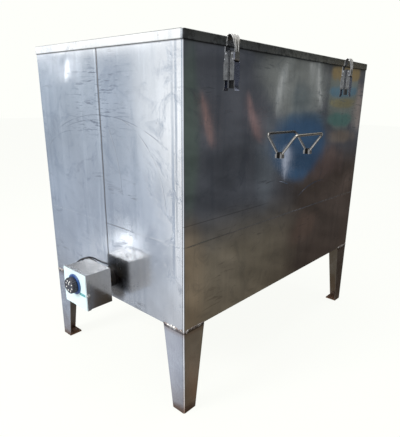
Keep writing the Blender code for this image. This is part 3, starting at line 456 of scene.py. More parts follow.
def painted(name, tint, rough):
    """Sprayed sheet: slight orange peel, grime in soft patches and a few chips."""
    made, g, shader = new_material(name)
    p = g.place()
    fine = g.noise(p, 420, 2)
    grime = g.noise(p, 26, 5, 0.65, 0.6)
    chips = g.step(g.noise(p, 95, 3, 0.6), 0.76, 0.79)
    colour = g.mix(g.step(grime, 0.48, 0.78, 0, 0.35), tint, shaded(tint, 0.72))
    colour = g.mix(g.times(chips, 0.8), colour, (0.30, 0.31, 0.32))
    dress(g, shader, colour, g.step(grime, 0.3, 0.7, rough, rough + 0.14), g.times(fine, 0.00002), ior=1.48)
    return made


def painted_flank_shade(g, colour, tint, cloud):
    """Painted shade on the two flanks of the thermostat's box, darker where the cloud is."""
    flank = g.step(g.size(g.axes(g.facing())[1]), 0.6, 0.9)
    return g.mix(g.times(flank, 0.9), colour, g.mix(cloud, shaded(tint, 0.84), shaded(tint, 0.62)))


def cover_sheet(name, tint, side_tint):
    """The thermostat's cover: sprayed on its front and bare round its skirt, with painted shade on the
    skirt's flanks.
    """
    made, g, shader = new_material(name)
    p = g.place()
    front = g.step(g.axes(g.facing())[0], -0.9, -0.6, 1, 0)
    grime = g.noise(p, 26, 5, 0.65, 0.6)
    fine = g.noise(p, 420, 2)
    paint = g.mix(g.step(grime, 0.48, 0.78, 0, 0.35), tint, shaded(tint, 0.72))
    bare = g.mix(g.step(grime, 0.35, 0.7), side_tint, shaded(side_tint, 0.75))
    colour = g.mix(front, painted_flank_shade(g, bare, side_tint, grime), paint)
    dress(g, shader, colour, g.step(grime, 0.3, 0.7, 0.20, 0.32), g.times(fine, 0.00001), ior=1.48)
    g.put(shader.inputs["Metallic"], g.minus(1.0, front))
    return made


def box_steel(name, tint, back_shade_tint):
    """The thermostat's folded box: bare outside, with painted shade making it near black where it faces the
    tank.
    """
    made, g, shader = new_material(name)
    p = g.place()
    back = g.step(g.axes(g.facing())[0], 0.6, 0.9)
    cloud = g.noise(p, 30, 5, 0.65, 0.5)
    grain = g.noise(g.scaled(p, (40, 400, 400)), 1.0, 2)
    colour = g.mix(g.step(cloud, 0.35, 0.7), tint, shaded(tint, 0.78))
    colour = g.mix(back, painted_flank_shade(g, colour, tint, cloud), back_shade_tint)
    rough = g.sum(g.step(grain, 0.3, 0.7, 0.13, 0.17), g.times(g.step(cloud, 0.4, 0.8), 0.07))
    dress(g, shader, colour, rough, g.times(cloud, 0.00008), metallic=1.0)
    return made


def handle_steel(name, tint, inner_shade_tint):
    """A handle's bar: plain steel on the outside, with painted shade on the side towards the wall."""
    made, g, shader = new_material(name)
    p = g.place()
    towards_wall = g.times(g.axes(g.facing())[1], g.math("SIGN", g.axes(p)[1]))
    cloud = g.noise(p, 120, 4, 0.6)
    colour = g.mix(g.step(cloud, 0.35, 0.7), tint, shaded(tint, 0.75))
    colour = g.mix(g.step(towards_wall, -0.15, 0.25, 1, 0), colour, inner_shade_tint)
    dress(g, shader, colour, g.step(cloud, 0.3, 0.7, 0.20, 0.32), g.times(cloud, 0.00003), metallic=1.0)
    return made


def channel_steel(name, tint, face_tint):
    """The latches' pressed levers: darker on their cheeks, bluish on their outer faces."""
    made, g, shader = new_material(name)
    p = g.place()
    face = g.step(g.size(g.axes(g.facing())[1]), 0.5, 0.9)
    cloud = g.noise(p, 130, 4, 0.6)
    worn = g.noise(g.scaled(p, (900, 900, 60)), 1.0, 2)
    colour = g.mix(g.step(cloud, 0.35, 0.7), tint, shaded(tint, 0.62))
    colour = g.mix(face, colour, g.mix(g.step(cloud, 0.35, 0.7), face_tint, shaded(face_tint, 0.75)))
    height = g.sum(g.times(cloud, 0.00003), g.times(worn, 0.000004))
    dress(g, shader, colour, g.step(cloud, 0.3, 0.7, 0.18, 0.32), height, metallic=1.0)
    return made


def foot_steel(name, tint, wall_side_shade_tint):
    """The handles' feet: bright outside, with painted shade making the part next to the wall near black."""
    made, g, shader = new_material(name)
    p = g.place()
    out = g.minus(g.size(g.axes(p)[1]), HALF_Y)
    shade_patch = g.step(g.sum(out, g.times(g.noise(p, 300, 2), 0.002)), 0.0050, 0.0070, 1, 0)
    cloud = g.noise(p, 150, 3)
    colour = g.mix(shade_patch, g.mix(g.step(cloud, 0.35, 0.7), tint, shaded(tint, 0.7)), wall_side_shade_tint)
    dress(g, shader, colour, g.step(cloud, 0.3, 0.7, 0.24, 0.36), g.times(cloud, 0.00005), metallic=0.9)
    return made


def moulded(name, tint, rough, lift=1.5):
    """Moulded plastic or rubber: fine pitting, dust and handling shine."""
    made, g, shader = new_material(name)
    p = g.place()
    pits = g.noise(p, 900, 2)
    dust = g.noise(p, 48, 4, 0.6)
    colour = g.mix(g.step(dust, 0.45, 0.8, 0, 0.5), tint, [min(1, c * lift + 0.015) for c in tint])
    dress(g, shader, colour, g.step(dust, 0.3, 0.7, rough, rough + 0.16), g.times(pits, 0.00002), ior=1.5)
    return made


def make_looks():
    return {
        "tank_sheet": sheet_steel("tank_sheet", (0.66, 0.685, 0.73), warm=0.30, walls=True),
        "lid_sheet": sheet_steel("lid_sheet", (0.72, 0.73, 0.74), dull=0.08, hem=True, buckle=0.5),
        "inner_sheet": sheet_steel("inner_sheet", (0.68, 0.69, 0.70), dull=0.14, buckle=0.4),
        "leg_sheet": leg_steel(),
        "foot_plate": rusty_plate(),
        "weld": weld_metal(),
        "bright": plain_steel("bright_fitting", (0.70, 0.69, 0.67), 0.22),
        "lever": channel_steel("latch_lever_steel", (0.27, 0.265, 0.250), (0.42, 0.46, 0.62)),
        "latch_base": plain_steel("latch_base_steel", (0.17, 0.17, 0.17), 0.28),
        "turned": plain_steel("turned_steel", (0.70, 0.70, 0.71), 0.20, stretch=(3, 0.2, 0.2)),
        # the box's back, in the narrow gap at the tank, gets a near-black painted shade
        "box_sheet": box_steel("box_sheet", (0.47, 0.47, 0.47), (0.018, 0.018, 0.020)),
        "cover": cover_sheet("white_cover", (0.56, 0.69, 0.71), (0.50, 0.51, 0.53)),
        "handle": handle_steel("handle_bar_steel", (0.50, 0.48, 0.44), (0.31, 0.29, 0.26)),
        "handle_foot": foot_steel("handle_foot_steel", (0.42, 0.40, 0.37), (0.015, 0.014, 0.013)),
        # painted shade: the heater's socket is near black, for the shade in the gap behind the thermostat's
        # box
        "socket": plain_steel(
            "socket_steel", (0.060, 0.055, 0.052), 0.45, stain=0.4, stain_colour=(0.02, 0.017, 0.015)
        ),
        "element": plain_steel(
            "heater_sheath", (0.50, 0.46, 0.44), 0.30, stain=0.5, stain_colour=(0.26, 0.21, 0.17)
        ),
        # painted shade: the heater's brass head is near black, for the shade in the gap behind the
        # thermostat's box
        "brass": plain_steel(
            "brass_head", (0.075, 0.058, 0.034), 0.42, stain=0.5, stain_colour=(0.02, 0.016, 0.012)
        ),
        "white": painted("front_plate_white", (0.56, 0.69, 0.71), 0.30),
        "blue": moulded("dial_blue", (0.016, 0.062, 0.21), 0.32),
        "black": moulded("knob_black", (0.022, 0.022, 0.032), 0.30, 2.2),
        "gland": moulded("gland_black", (0.028, 0.028, 0.030), 0.50, 2.5),
        "rubber": moulded("black_rubber", (0.018, 0.018, 0.019), 0.62, 2.5),
        "cream": moulded("switch_cream", (0.78, 0.73, 0.62), 0.42, 1.05),
        "silicone": moulded("seal_red", (0.42, 0.11, 0.07), 0.50, 1.3),
        "blue_coat": moulded("lever_blue", (0.04, 0.15, 0.42), 0.36),
        "ink_white": moulded("dial_marks", (0.86, 0.86, 0.82), 0.5, 1.02),
        "ink_teal": moulded("tick_marks", (0.02, 0.24, 0.26), 0.5, 1.2),
        "seam": plain_steel(
            "seam_line", (0.20, 0.20, 0.21), 0.40, stain=0.5, stain_colour=(0.08, 0.08, 0.085)
        ),
    }


# ---------------------------------------------------------------- CAD nodes

NODE_LOOKS = {
    "tank_sheet": ("front_shell", "rear_shell"),
    "lid_sheet": ("lid_pan",),
    "inner_sheet": ("tank_floor", "top_flange", "floor_ledge", "false_floor", "frame_rail"),
    "leg_sheet": ("leg_",),
    "foot_plate": ("foot_plate",),
    "handle": ("handle_bar",),
    "handle_foot": ("handle_foot",),
    "bright": ("hinge_", "latch_pivot", "latch_hook", "cover_screw", "valve_ball"),
    "lever": ("latch_lever",),
    "latch_base": ("latch_base",),
    "turned": ("valve_body", "drain_", "sensor_well"),
    "socket": ("heater_socket",),
    "element": ("heater_element",),
    "brass": ("heater_head",),
    "box_sheet": ("thermostat_housing",),
    "cover": ("thermostat_cover",),
    "white": ("front_plate",),
    "blue": ("dial_ring",),
    "black": ("thermostat_knob",),
    "cream": ("thermostat_switch",),
    "gland": ("mains_gland",),
    "rubber": ("heater_seal", "sensor_lead"),
    "silicone": ("lid_seal",),
    "blue_coat": ("valve_lever",),
}

ROUND_BARS = ("handle_bar", "sensor_lead", "heater_element")
SHARP_ANGLE, ROUND_BAR_ANGLE = 35, 50


def smooth_shading(made, angle):
    """Curved faces shade smooth and edges stay sharp.

    The CAD's triangles share no corners, so they are welded first.
    """
    mesh = made.data
    if "custom_normal" in mesh.attributes:
        mesh.attributes.remove(mesh.attributes["custom_normal"])
    mesh.shade_smooth()
    weld = made.modifiers.new("weld", "WELD")
    weld.merge_threshold = 0.00001
    split = made.modifiers.new("sharp_edges", "EDGE_SPLIT")
    split.split_angle = math.radians(angle)
    split.use_edge_sharp = False
    flat = made.modifiers.new("flat_faces_stay_flat", "WEIGHTED_NORMAL")
    flat.mode = "FACE_AREA"
    flat.weight = 100


def dress_nodes(looks):
    for look, starts in NODE_LOOKS.items():
        for name, node in NODES.items():
            if name.startswith(starts):
                node.data.materials.clear()
                node.data.materials.append(looks[look])
    for name, node in NODES.items():
        smooth_shading(node, ROUND_BAR_ANGLE if name.startswith(ROUND_BARS) else SHARP_ANGLE)


# ---------------------------------------------------------------- detail pieces


def add_piece(name, bm, look, body, smooth=None):
    """A finished bmesh as a piece that rides on a body, smooth up to an angle or flat."""
    bmesh.ops.recalc_face_normals(bm, faces=bm.faces)
    mesh = bpy.data.meshes.new(name)
    bm.to_mesh(mesh)
    bm.free()
    mesh.materials.append(look)
    if smooth:
        mesh.shade_smooth()
        mesh.set_sharp_from_angle(angle=math.radians(smooth))
    made = bpy.data.objects.new(name, mesh)
    bpy.context.scene.collection.objects.link(made)
    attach(made, body)
    return made


def skin(bm, loops):
    """Faces over loops of equally many points, capped at both ends."""
    rows = [[bm.verts.new(p) for p in loop] for loop in loops]
    count = len(rows[0])
    for a, b in zip(rows, rows[1:]):
        for i in range(count):
            j = (i + 1) % count
            bm.faces.new((a[i], b[i], b[j], a[j]))
    bm.faces.new(rows[0][::-1])
    bm.faces.new(rows[-1])


HALF_TURN = [math.pi * k / 6 for k in range(7)]
BEAD_SINK = 0.00005  # a bead's edges lie this deep in the sheet
# Beads: width, height, ripple and the length of a ripple
SEAM_BEAD, LEDGE_BEAD = (0.0026, 0.00030, 0.35, 0.006), (0.0030, 0.00022, 0.5, 0.008)
LEG_END_BEAD, LEG_SIDE_BEAD = (0.0070, 0.0021, 1.1, 0.0021), (0.0056, 0.0016, 1.1, 0.0021)


def bead(bm, start, end, out, width, height, ripple, step, seed):
    """A laid weld bead between two points on a surface that faces out: half-round, with ripples along it."""
    start, end, out = Vector(start), Vector(end), Vector(out)
    along = end - start
    side = along.cross(out).normalized()
    count = max(4, round(along.length / step))
    loops = []
    for i in range(count + 1):
        place = start + along * i / count
        wave = noise.noise(Vector((i * 0.9 + seed, seed, 0.3)))
        scale = 1 + ripple * wave
        sway = side * width * 0.35 * ripple * noise.noise(Vector((i * 0.23, seed + 9, 0)))
        taper = 0.35 if i in (0, count) else 1.0
        loops.append([
            place + sway + side * math.cos(turn) * width / 2 * scale * taper
            + out * (math.sin(turn) * height * scale * taper - BEAD_SINK)
            for turn in HALF_TURN
        ])
    skin(bm, loops)


CORNER_GAP, SEAM_GAP = 0.008, 0.004  # where the ledge's line stops short of a corner and of a seam
SEAM_TOP = LID_BOTTOM - 0.0012
# The left seam goes round the heater's socket, and the right one starts over the drain's
LEFT_SEAM = ((TANK_BOTTOM + 0.001, SOCKET_LOW.z - 0.00063), (SOCKET_HIGH.z + 0.000825, SEAM_TOP))
RIGHT_SEAM = ((TANK_BOTTOM + 0.047, SEAM_TOP),)


def make_seams(looks):
    """The upright seams in the middle of both ends, and the line where the inner ledge is welded on."""
    for name, side, spans in (("seam_bead_left", -1, LEFT_SEAM), ("seam_bead_right", 1, RIGHT_SEAM)):
        bm = bmesh.new()
        x = side * HALF_X
        for n, (a, b) in enumerate(spans):
            bead(bm, (x, 0, a), (x, 0, b), (side, 0, 0), *SEAM_BEAD, 3 * n + side)
        add_piece(name, bm, looks["seam"], "vat", 60)
    bm = bmesh.new()
    z = LEDGE_TOP - 0.002
    far_x, far_y = HALF_X - CORNER_GAP, HALF_Y - CORNER_GAP
    stretches = (
        ((-HALF_X, far_y, z), (-HALF_X, SEAM_GAP, z), (-1, 0, 0)),
        ((-HALF_X, -SEAM_GAP, z), (-HALF_X, -far_y, z), (-1, 0, 0)),
        ((-far_x, -HALF_Y, z), (far_x, -HALF_Y, z), (0, -1, 0)),
        ((HALF_X, -far_y, z), (HALF_X, -SEAM_GAP, z), (1, 0, 0)),
        ((HALF_X, SEAM_GAP, z), (HALF_X, far_y, z), (1, 0, 0)),
        ((far_x, HALF_Y, z), (-far_x, HALF_Y, z), (0, 1, 0)),
    )
    for n, (a, b, out) in enumerate(stretches):
        bead(bm, a, b, out, *LEDGE_BEAD, n)
    add_piece("ledge_line", bm, NODES["front_shell"].data.materials[0], "vat", 60)


WELD_START, WELD_DROP = 0.003, 0.0002  # from the tank's corner and its lower edge


def make_leg_welds(looks):
    """Hand-laid beads where each leg's two flanges meet the tank's lower edge."""
    for depth, sy in (("front", -1), ("rear", 1)):
        for width, sx in (("left", -1), ("right", 1)):
            bm = bmesh.new()
            x, y, z = sx * HALF_X, sy * HALF_Y, TANK_BOTTOM - WELD_DROP
            start, end = (x, y - sy * WELD_START, z), (x, y - sy * LEG_WIDTH, z)
            bead(bm, start, end, (sx, 0, 0), *LEG_END_BEAD, sx + 5)
            start, end = (x - sx * WELD_START, y, z), (x - sx * LEG_WIDTH, y, z)
            bead(bm, start, end, (0, sy, 0), *LEG_SIDE_BEAD, sy + 8)
            add_piece(f"leg_weld_{depth}_{width}", bm, looks["weld"], "vat", 50)


KNOB_POINTS, KNOB_FLUTES, FLUTE_DEPTH = 144, 24, 0.0011
FACE_RISE = 0.0009  # of the knob's rim over its face
MARK_UNDER, MARK_OVER = 0.0001, -0.0002  # from the knob's face, along X
MARKS, MARK_CIRCLE, MARK_SIZE = 8, 0.0128, (0.0011, 0.0019)
POINTER_RISE, POINTER_SIZE = 0.00575, (0.0009, 0.00375)


def ring_of(radius, x, flute):
    """Points of the knob's outline across X; flutes scallop its radius."""
    loop = []
    for i in range(KNOB_POINTS):
        turn = 2 * math.pi * i / KNOB_POINTS
        r = radius - flute * (0.5 + 0.5 * math.cos(KNOB_FLUTES * turn))
        loop.append(Vector((x, r * math.cos(turn), DIAL_Z + r * math.sin(turn))))
    return loop


def add_block(bm, low, high):
    xs, ys, zs = zip(low, high)
    made = [bm.verts.new((x, y, z)) for x in xs for y in ys for z in zs]
    for face in ((0, 1, 3, 2), (4, 6, 7, 5), (0, 4, 5, 1), (2, 3, 7, 6), (0, 2, 6, 4), (1, 5, 7, 3)):
        bm.faces.new([made[i] for i in face])


def face_mark(bm, middle, outward, half_width, half_length):
    """A thin bar on the knob's face, its length along the outward direction."""
    across = Vector((0, -outward.z, outward.y))
    corners = [
        middle + across * a * half_width + outward * b * half_length
        for a, b in ((1, 1), (-1, 1), (-1, -1), (1, -1))
    ]
    skin(bm, [[corner + Vector((x, 0, 0)) for corner in corners] for x in (MARK_UNDER, MARK_OVER)])


def make_knob(looks):
    """The thermostat's fluted knob with plain marks on its face."""
    front, back = KNOB_LOW.x, RING_X - 0.0004
    face = front + FACE_RISE
    # in from the knob's radius, place along X, and depth of the flutes
    profile = (
        (0.0012, back, 0), (0.0001, back - 0.0012, FLUTE_DEPTH), (0.0006, front + 0.0018, FLUTE_DEPTH),
        (0.0024, front, 0.0003), (0.0044, front + 0.0002, 0), (0.0052, face, 0),
    )
    bm = bmesh.new()
    skin(bm, [ring_of(KNOB_RADIUS - inset, x, flute) for inset, x, flute in profile])
    knob = add_piece("fluted_knob", bm, looks["black"], "knob", 32)
    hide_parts("thermostat_knob")
    bm = bmesh.new()
    centre = Vector((face, 0, DIAL_Z))
    for i in range(MARKS):
        turn = math.radians(22 + 360 / MARKS * i)
        outward = Vector((0, math.cos(turn), math.sin(turn)))
        face_mark(bm, centre + outward * MARK_CIRCLE, outward, *MARK_SIZE)
    up = Vector((0, 0, 1))
    face_mark(bm, centre + up * POINTER_RISE, up, *POINTER_SIZE)
    add_piece("knob_marks", bm, looks["ink_white"], "knob")


SCALE_MARKS, SCALE_START, SCALE_PITCH, SCALE_DROP = 12, -0.0187, 0.0022, 0.0190
SHORT_MARK, TALL_MARK, MARK_HALF_WIDTH = 0.0058, 0.0078, 0.0008


def make_scale(looks):
    """The teal scale under the dial, on the front plate."""
    bm = bmesh.new()
    middle = DIAL_Z - SCALE_DROP
    for i in range(SCALE_MARKS):
        y = SCALE_START - SCALE_PITCH * i
        half = (SHORT_MARK if i % 2 else TALL_MARK) / 2
        low = (PLATE_X - 0.00015, y - MARK_HALF_WIDTH, middle - half)
        add_block(bm, low, (PLATE_X + 0.0002, y + MARK_HALF_WIDTH, middle + half))
    add_piece("scale_marks", bm, looks["ink_teal"], "vat")


# The hook strap's outer side, from its pin over the lid: out from the wall and over the lid's top
STRAP_LINE = (
    (0.0134, -0.0280), (0.0134, -0.0220), (0.0130, -0.0140),
    (0.0116, -0.0060), (0.0094, 0.0012), (0.0056, 0.0056),
)
RIB_OFFSET, RIB_HALF_WIDTH, RIB_HEIGHT = 0.0034, 0.0014, 0.0009


def make_hook_ribs(looks):
    """Two pressed ribs down each hook's strap, spreading towards the lid and thin at both ends."""
    last = len(STRAP_LINE) - 1
    for side in ("left", "right"):
        low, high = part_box(f"latch_hook_{side}")
        middle = (low.x + high.x) / 2
        bm = bmesh.new()
        for offset in (-RIB_OFFSET, RIB_OFFSET):
            loops = []
            for i, (out, over) in enumerate(STRAP_LINE):
                a, b = STRAP_LINE[max(i - 1, 0)], STRAP_LINE[min(i + 1, last)]
                along = Vector((0, -(b[0] - a[0]), b[1] - a[1])).normalized()
                away = Vector((0, -along.z, along.y))
                if away.y > 0:
                    away = -away
                place = Vector((middle + offset * (1 + 0.5 * i / last), -HALF_Y - out, LID_EDGE + over))
                thin = 0.4 if i in (0, last) else 1.0
                half_width, height = Vector((RIB_HALF_WIDTH * thin, 0, 0)), away * RIB_HEIGHT * thin
                loops.append([place + half_width * math.cos(t) + height * math.sin(t) for t in HALF_TURN])
            skin(bm, loops)
        add_piece(f"hook_ribs_{side}", bm, looks["bright"], f"latch_hook_{side}", 60)


def through(points, steps):
    """A smooth line through the points, with steps stretches between each two."""
    ends = [2 * points[0] - points[1], *points, 2 * points[-1] - points[-2]]
    line = []
    for a, b, c, d in zip(ends, ends[1:], ends[2:], ends[3:]):
        for i in range(steps):
            t = i / steps
            bend, twist = 2 * a - 5 * b + 4 * c - d, 3 * b - 3 * c + d - a
            line.append(0.5 * (2 * b + (c - a) * t + bend * t**2 + twist * t**3))
    return line + [points[-1]]


# The sensor's lead, from the thermostat's box to the sensor's pocket: out from the end wall, y and z
LEAD_ROUTE = (
    (0.0291, 0.0240, 0.2925), (0.0240, 0.0245, 0.2928), (0.0150, 0.0310, 0.2965), (0.0075, 0.0430, 0.3000),
    (0.0048, 0.0580, 0.3022), (0.0045, 0.0750, 0.3028), (0.0045, 0.0930, 0.3005), (0.0045, 0.1100, 0.2955),
    (0.0050, 0.1260, 0.2880), (0.0070, 0.1400, 0.2775), (0.0110, 0.1510, 0.2650), (0.0160, 0.1575, 0.2530),
    (0.0165, 0.1590, 0.2450), (0.0125, 0.1590, 0.2393), (0.0068, 0.1590, 0.2380),
)
LEAD_RADIUS = 0.0022


def make_sensor_lead(looks):
    """The thin sheathed lead, as a cord that leaves the box and goes back into the tank."""
    line = through([Vector((-HALF_X - out, y, z)) for out, y, z in LEAD_ROUTE], 4)
    curve = bpy.data.curves.new("sensor_cord", "CURVE")
    curve.dimensions = "3D"
    curve.bevel_depth = LEAD_RADIUS
    curve.bevel_resolution = 4
    curve.use_fill_caps = True
    spline = curve.splines.new("POLY")
    spline.points.add(len(line) - 1)
    for point, place in zip(spline.points, line):
        point.co = (*place, 1)
    curve.materials.append(looks["rubber"])
    lead = bpy.data.objects.new("sensor_cord", curve)
    bpy.context.scene.collection.objects.link(lead)
    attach(lead, "vat")
    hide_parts("sensor_lead")


def make_camera():
    a, e, roll = CAMERA_AZIMUTH, CAMERA_ELEVATION, CAMERA_ROLL
    back = Vector((math.sin(a) * math.cos(e), -math.cos(a) * math.cos(e), math.sin(e)))
    right = (-back).cross(Vector((0, 0, 1))).normalized()
    up = back.cross(right)
    level_right = right * math.cos(roll) - up * math.sin(roll)
    level_up = right * math.sin(roll) + up * math.cos(roll)
    data = bpy.data.cameras.new("camera")
    data.lens = CAMERA_LENS
    data.shift_x, data.shift_y = CAMERA_SHIFT
    data.clip_start = 0.05  # so that close views aren't cut
    camera = bpy.data.objects.new("camera", data)
    bpy.context.scene.collection.objects.link(camera)
    turn = Matrix((level_right, level_up, back)).transposed()
    camera.matrix_world = Matrix.Translation(CAMERA_PLACE) @ turn.to_4x4()
    bpy.context.scene.camera = camera


# ---------------------------------------------------------------- stage


BACKGROUND = (0.991, 1.0, 0.960)
SLANT = 0.7071  # cosine of 45 degrees
FLOOR_HALF_SIZE, FLOOR_DROP = 14, 0.0006

# What the steel mirrors, as soft ellipses. Towards -X, places are (y, z) over the distance, and towards
# -Y they are (x, z). Each has its middle, half size, lean (across per up), flare (widening upwards),
# colour and softness.
BRIGHT_SIDE = (
    ((1.97, -0.05), (0.070, 0.75), 0.0, 0.0, (0.34, 0.42, 0.52), 0.7),
    ((1.66, 0.10), (0.12, 0.26), 0.0, 0.0, (0.56, 0.63, 0.70), 1.0),
    ((1.38, -0.08), (0.13, 0.34), 0.0, 0.0, (0.50, 0.56, 0.64), 1.0),
    ((1.745, 0.11), (0.024, 0.065), -0.50, 0.8, (3.2, 3.2, 3.2), 0.8),
    ((1.42, 0.10), (0.060, 0.20), 0.0, 0.0, (0.45, 0.52, 0.62), 1.0),
    ((1.13, 0.00), (0.17, 0.36), 0.0, 0.0, (1.12, 1.15, 1.16), 1.0),
    ((1.12, -0.80), (0.12, 0.16), 0.0, 0.0, (0.80, 0.84, 0.90), 1.0),
    ((1.135, -1.08), (0.080, 0.25), 0.0, 0.0, (1.45, 1.51, 1.62), 1.0),
    ((1.02, -0.08), (0.085, 0.95), 0.0, 0.0, (1.60, 1.58, 1.52), 0.9),
    ((1.39, -0.56), (0.13, 0.08), 0.0, 0.0, (1.15, 1.20, 1.24), 1.0),
    ((1.39, -0.605), (0.085, 0.055), 0.0, 0.0, (5.6, 5.65, 5.65), 1.0),
    ((0.40, -0.55), (0.46, 0.60), 0.0, 0.0, (0.165, 0.140, 0.105), 0.5),
)
# Seen by the thermostat box's top, and by way of it in the wall
HOT_SPOT = (((1.42, 0.62), (0.15, 0.10), 0.0, 0.0, (13.0, 13.0, 12.8), 0.9),)
DARK_SIDE = (
    ((2.04, -0.30), (0.22, 0.12), 0.3, 0.0, (0.098, 0.070, 0.060), 0.9),
    ((1.82, -0.62), (0.16, 0.10), 0.6, 0.0, (0.090, 0.062, 0.048), 1.0),
    ((2.30, -0.47), (0.14, 0.12), 0.4, 0.0, (0.086, 0.064, 0.052), 1.0),
    ((1.00, -0.12), (0.065, 0.36), 0.0, 0.0, (0.085, 0.106, 0.090), 0.8),
    ((1.09, -1.15), (0.09, 0.11), 0.0, 0.0, (0.520, 0.300, 0.180), 1.0),
    ((0.60, -0.54), (0.34, 0.26), 0.0, 0.0, (0.075, 0.068, 0.058), 0.5),
    ((0.635, -0.585), (0.035, 0.045), 0.9, 0.0, (0.260, 0.170, 0.110), 0.8),
    ((0.575, -0.48), (0.040, 0.045), 0.6, 0.0, (0.120, 0.118, 0.110), 0.9),
    ((1.00, -0.68), (0.12, 0.34), 0.0, 0.0, (0.215, 0.165, 0.108), 1.0),
    ((1.23, -0.66), (0.10, 0.10), 0.0, 0.0, (0.185, 0.155, 0.112), 1.0),
    ((1.47, -0.24), (0.09, 0.26), 0.0, 0.0, (0.115, 0.126, 0.135), 1.0),
    ((1.105, -0.07), (0.024, 0.11), -0.38, 0.0, (0.26, 0.165, 0.145), 0.7),
    ((1.390, -0.07), (0.034, 0.11), -0.50, 0.0, (0.24, 0.160, 0.150), 0.7),
    ((1.70, 0.09), (0.32, 0.21), 0.0, 0.1, (0.190, 0.196, 0.178), 0.7),
    ((1.73, 0.01), (0.11, 0.09), 0.0, 0.0, (0.125, 0.142, 0.140), 1.0),
    ((1.550, 0.05), (0.022, 0.14), 0.12, 0.0, (0.520, 0.525, 0.490), 0.9),
    ((1.850, 0.09), (0.026, 0.15), -0.45, 0.0, (0.620, 0.625, 0.585), 0.9),
    ((1.75, -0.09), (0.25, 0.06), 0.0, 0.0, (0.085, 0.120, 0.150), 0.7),
    ((1.74, -0.21), (0.28, 0.17), 0.0, 0.2, (0.042, 0.080, 0.135), 0.5),
    ((1.625, -0.27), (0.042, 0.100), 0.0, 1.0, (0.42, 0.45, 0.51), 0.5),
    ((2.17, 0.04), (0.19, 0.19), 0.0, 0.0, (0.170, 0.187, 0.165), 0.3),
    ((2.20, 0.15), (0.19, 0.05), 0.0, 0.0, (0.235, 0.175, 0.088), 0.4),
    ((2.17, 0.055), (0.18, 0.030), 0.0, 0.0, (0.105, 0.175, 0.215), 0.5),
    ((2.18, 0.000), (0.17, 0.026), 0.0, 0.0, (0.225, 0.200, 0.115), 0.5),
    ((2.17, -0.080), (0.18, 0.040), 0.0, 0.0, (0.092, 0.168, 0.146), 0.5),
    ((2.41, -0.02), (0.085, 0.15), 0.0, 0.0, (0.270, 0.225, 0.198), 0.7),
    ((2.20, -0.17), (0.21, 0.045), 0.0, 0.0, (0.165, 0.135, 0.110), 0.8),
)


def patches(g, across, up, colour, table):
    """A table's soft ellipses, one over the other."""
    for (a, b), (ra, rb), lean, flare, tint, softness in table:
        rise = g.minus(up, b)
        width = g.math("MAXIMUM", g.sum(ra, g.times(rise, flare * ra / rb)), 0.004)
        off = g.over(g.minus(g.minus(across, a), g.times(rise, lean)), width)
        high = g.over(rise, rb)
        far = g.sum(g.times(off, off), g.times(high, high))
        colour = g.mix(g.step(far, 1 - softness, 1, 1, 0), colour, tint)
    return colour


def bright_side(g, across, up):
    """A yard in daylight, with a pale strip of sky just over the horizon."""
    light = g.mix(g.step(up, -0.60, 0.12), (0.50, 0.555, 0.64), (0.64, 0.71, 0.79))
    light = patches(g, across, up, light, BRIGHT_SIDE)
    light = g.mix(g.step(up, 0.168, 0.19), light, (1.85, 1.85, 1.82))
    light = g.mix(g.step(up, 0.26, 0.38), light, (0.80, 0.81, 0.82))
    return patches(g, across, up, light, HOT_SPOT)


def dark_side(g, across, up, z):
    """A dim workshop, with an even light straight ahead of the tank and past its right end."""
    light = g.mix(g.step(up, -0.62, -0.36), (0.150, 0.126, 0.090), (0.080, 0.083, 0.091))
    low_right = g.times(g.step(across, 1.45, 1.85), g.step(up, -0.36, -0.16, 1, 0))
    light = g.mix(low_right, light, (0.064, 0.049, 0.040))
    light = patches(g, across, up, light, DARK_SIDE)
    light = g.mix(g.step(up, 0.165, 0.185), light, (0.036, 0.037, 0.032))
    ahead = g.math("MAXIMUM", g.step(across, -0.10, 0.30, 1, 0), g.step(across, 3.2, 5.0))
    even = g.mix(g.step(z, -0.30, 0.15), (0.30, 0.30, 0.29), (0.46, 0.47, 0.48))
    light = g.mix(g.times(ahead, g.step(z, 0.20, 0.34, 1, 0)), light, even)
    return g.mix(g.step(z, 0.34, 0.52), light, (0.80, 0.79, 0.75))


def uneven(g, light, clutter, low, high):
    """Light broken up by a noise, between a low and a high factor."""
    factor = g.step(clutter, 0.30, 0.70, low, high)
    return g.add("ShaderNodeVectorMath", {0: light, "Scale": factor}, operation="SCALE")


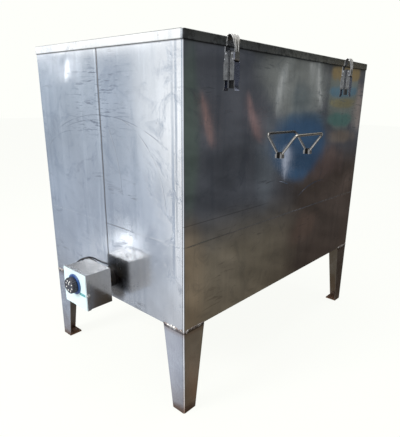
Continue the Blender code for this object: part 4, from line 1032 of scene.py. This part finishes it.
def make_world():
    """A pale studio to the camera. What the steel mirrors is bright towards -X and +Y and dim opposite."""
    world = bpy.data.worlds.new("studio")
    world.use_nodes = True
    bpy.context.scene.world = world
    g = Graph(world.node_tree)
    back = world.node_tree.nodes["Background"]
    direction = g.add("ShaderNodeTexCoord", output=0)
    x, y, z = g.axes(direction)
    leftward = g.math("MAXIMUM", g.times(x, -1), 0.02)
    frontward = g.math("MAXIMUM", g.times(y, -1), 0.02)
    bright = bright_side(g, g.over(y, leftward), g.over(z, leftward))
    dark = dark_side(g, g.over(x, frontward), g.over(z, frontward), z)
    clutter = g.noise(g.scaled(direction, (1, 1, 1.6)), 7.0, 5, 0.62, 0.8)
    haze = g.noise(g.scaled(direction, (1, 1, 0.5), (2, 5, 1)), 9.0, 4, 0.60, 0.6)
    dark, bright = uneven(g, dark, clutter, 0.74, 1.30), uneven(g, bright, haze, 0.86, 1.14)

    # the two sides meet on the diagonal, and behind the camera there is one broad light
    diagonal = g.times(g.minus(y, x), SLANT)
    surround = g.mix(g.step(diagonal, -0.25, 0.45), dark, bright)
    to_camera = g.times(g.sum(x, y), -SLANT)
    behind = g.times(
        g.step(to_camera, 0.50, 0.75),
        g.step(g.size(diagonal), 0.30, 0.65, 1, 0),
        g.step(z, 0.16, 0.30, 1, 0.4),
    )
    low = g.step(z, -0.44, -0.34, 1, 0)
    split = g.mix(g.step(diagonal, -0.26, -0.13), (0.50, 0.50, 0.48), (1.62, 1.65, 1.70))
    surround = g.mix(behind, surround, g.mix(low, (1.15, 1.17, 1.20), split))
    surround = g.mix(g.step(z, 0.52, 0.8), surround, (0.66, 0.67, 0.68))
    seen = g.add("ShaderNodeLightPath", output=0)
    g.put(back.inputs["Color"], g.mix(seen, surround, BACKGROUND))
    back.inputs["Strength"].default_value = 1.0


def make_floor():
    """A pale floor that the steel doesn't mirror, just under the feet."""
    bm = bmesh.new()
    bmesh.ops.create_grid(bm, x_segments=1, y_segments=1, size=FLOOR_HALF_SIZE)
    mesh = bpy.data.meshes.new("studio_floor")
    bm.to_mesh(mesh)
    bm.free()
    floor = bpy.data.objects.new("studio_floor", mesh)
    bpy.context.scene.collection.objects.link(floor)
    floor.location.z = -FLOOR_DROP
    made, g, shader = new_material("pale_floor")
    shader.inputs["Base Color"].default_value = (0.9, 0.9, 0.88, 1)
    shader.inputs["Roughness"].default_value = 0.9
    glow = g.add("ShaderNodeEmission", {"Color": BACKGROUND, "Strength": 1.0})
    seen = g.add("ShaderNodeLightPath", output=0)
    mixed = g.add("ShaderNodeMixShader", {0: g.times(seen, 0.93), 1: shader.outputs[0], 2: glow})
    g.put(made.node_tree.nodes["Material Output"].inputs[0], mixed)
    mesh.materials.append(made)
    floor.visible_glossy = False


def area_light(name, place, aim, size, power, colour=(1, 1, 1)):
    """A round lamp that points at aim."""
    data = bpy.data.lights.new(name, "AREA")
    data.shape = "DISK"
    data.size, data.energy, data.color = size, power, colour
    made = bpy.data.objects.new(name, data)
    made.location = place
    made.rotation_euler = (Vector(aim) - Vector(place)).to_track_quat("-Z", "Y").to_euler()
    bpy.context.scene.collection.objects.link(made)


def make_lights():
    middle = (0, 0, 0.5)
    area_light("key", (-2.4, 0.5, 1.9), middle, 0.9, 60, (1.0, 0.99, 0.97))
    area_light("top", (0.1, -0.2, 2.8), middle, 1.6, 30)


# ---------------------------------------------------------------- assembly


def main():
    make_camera()
    looks = make_looks()
    make_sensor_lead(looks)
    dress_nodes(looks)
    make_seams(looks)
    make_leg_welds(looks)
    make_knob(looks)
    make_scale(looks)
    make_hook_ribs(looks)
    make_world()
    make_floor()
    make_lights()
    bpy.context.scene.view_settings.view_transform = "Standard"


main()
